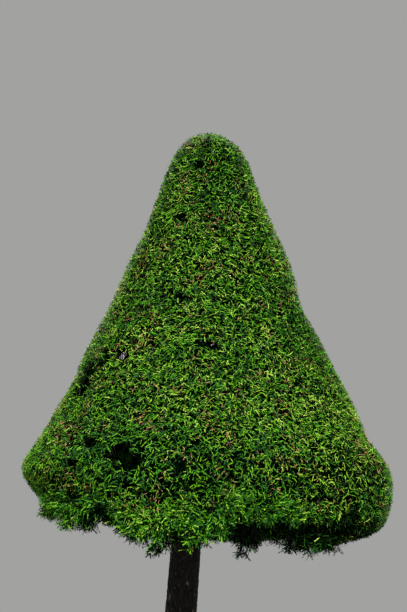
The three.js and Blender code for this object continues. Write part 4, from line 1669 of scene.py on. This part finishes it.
class TAMARIND_OT_stage(bpy.types.Operator):
    """Lay the floor, light the plant and stand the camera where the photograph was taken"""

    bl_idname = "tamarind.stage"
    bl_label = "Stage"

    def execute(self, context):
        stage = context.scene.tamarind_stage
        self.lay_floor(stage)
        self.set_camera(context, stage)
        self.set_lights(context, stage)
        return {"FINISHED"}

    def lay_floor(self, stage):
        """A square at the height of the pot's foot."""
        half = stage.floor_size / 2
        corners = np.array([(-half, -half, 0), (half, -half, 0), (half, half, 0), (-half, half, 0)])
        floor = mesh_object("floor", corners, [np.arange(4)[None]], [floor_material(stage)], smooth=False)

    def set_camera(self, context, stage):
        """A camera at eye height that looks along +Y and up."""
        camera = bpy.data.objects.new("camera", bpy.data.cameras.new("camera"))
        camera.data.lens = stage.camera_lens
        camera.location = (stage.camera_right, -stage.camera_away, stage.camera_height)
        camera.rotation_euler = (math.radians(90 + stage.camera_pitch), 0, 0)
        context.scene.collection.objects.link(camera)
        context.scene.camera = camera

    def set_lights(self, context, stage):
        """A broad key light from the front and above, and pale surroundings."""
        sun = bpy.data.objects.new("key", bpy.data.lights.new("key", "SUN"))
        sun.data.energy = stage.sun_strength
        sun.data.angle = math.radians(stage.sun_softness)
        sun.data.color = stage.sun_color
        sun.rotation_euler = (math.radians(90 - stage.sun_rise), 0, math.radians(stage.sun_turn))
        context.scene.collection.objects.link(sun)
        world = bpy.data.worlds.new("surroundings")
        world.use_nodes = True
        around = world.node_tree.nodes["Background"]
        around.inputs["Color"].default_value = (*stage.around_color, 1)
        around.inputs["Strength"].default_value = stage.fill_strength
        context.scene.world = world
        context.scene.view_settings.view_transform = "Standard"
        context.scene.view_settings.look = "Medium High Contrast"


OPERATORS = (
    TAMARIND_OT_pot,
    TAMARIND_OT_soil,
    TAMARIND_OT_trunk,
    TAMARIND_OT_boughs,
    TAMARIND_OT_twigs,
    TAMARIND_OT_leaves,
    TAMARIND_OT_stage,
)


class TAMARIND_PT_panel(bpy.types.Panel):
    """The tamarind's pieces and settings"""

    bl_idname = "TAMARIND_PT_panel"
    bl_label = "Clipped Tamarind"
    bl_space_type = "VIEW_3D"
    bl_region_type = "UI"
    bl_category = "Tamarind"

    def draw(self, context):
        for operator in OPERATORS:
            self.layout.operator(operator.bl_idname)
        for name in SETTINGS:
            box = self.layout.box()
            settings = getattr(context.scene, name)
            for key in settings.bl_rna.properties.keys():
                if key not in ("rna_type", "name"):
                    box.prop(settings, key)


def register():
    """Registers the settings, the operators and the panel."""
    for name, group in SETTINGS.items():
        bpy.utils.register_class(group)
        setattr(bpy.types.Scene, name, PointerProperty(type=group))
    for operator in OPERATORS:
        bpy.utils.register_class(operator)
    bpy.utils.register_class(TAMARIND_PT_panel)


def unregister():
    """Takes the panel, the operators and the settings out again."""
    bpy.utils.unregister_class(TAMARIND_PT_panel)
    for operator in reversed(OPERATORS):
        bpy.utils.unregister_class(operator)
    for name, group in SETTINGS.items():
        delattr(bpy.types.Scene, name)
        bpy.utils.unregister_class(group)


def main():
    register()
    bpy.ops.tamarind.pot()
    bpy.ops.tamarind.soil()
    bpy.ops.tamarind.trunk()
    bpy.ops.tamarind.boughs()
    bpy.ops.tamarind.twigs()
    bpy.ops.tamarind.leaves()
    bpy.ops.tamarind.stage()
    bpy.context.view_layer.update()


if __name__ == "__main__":
    main()
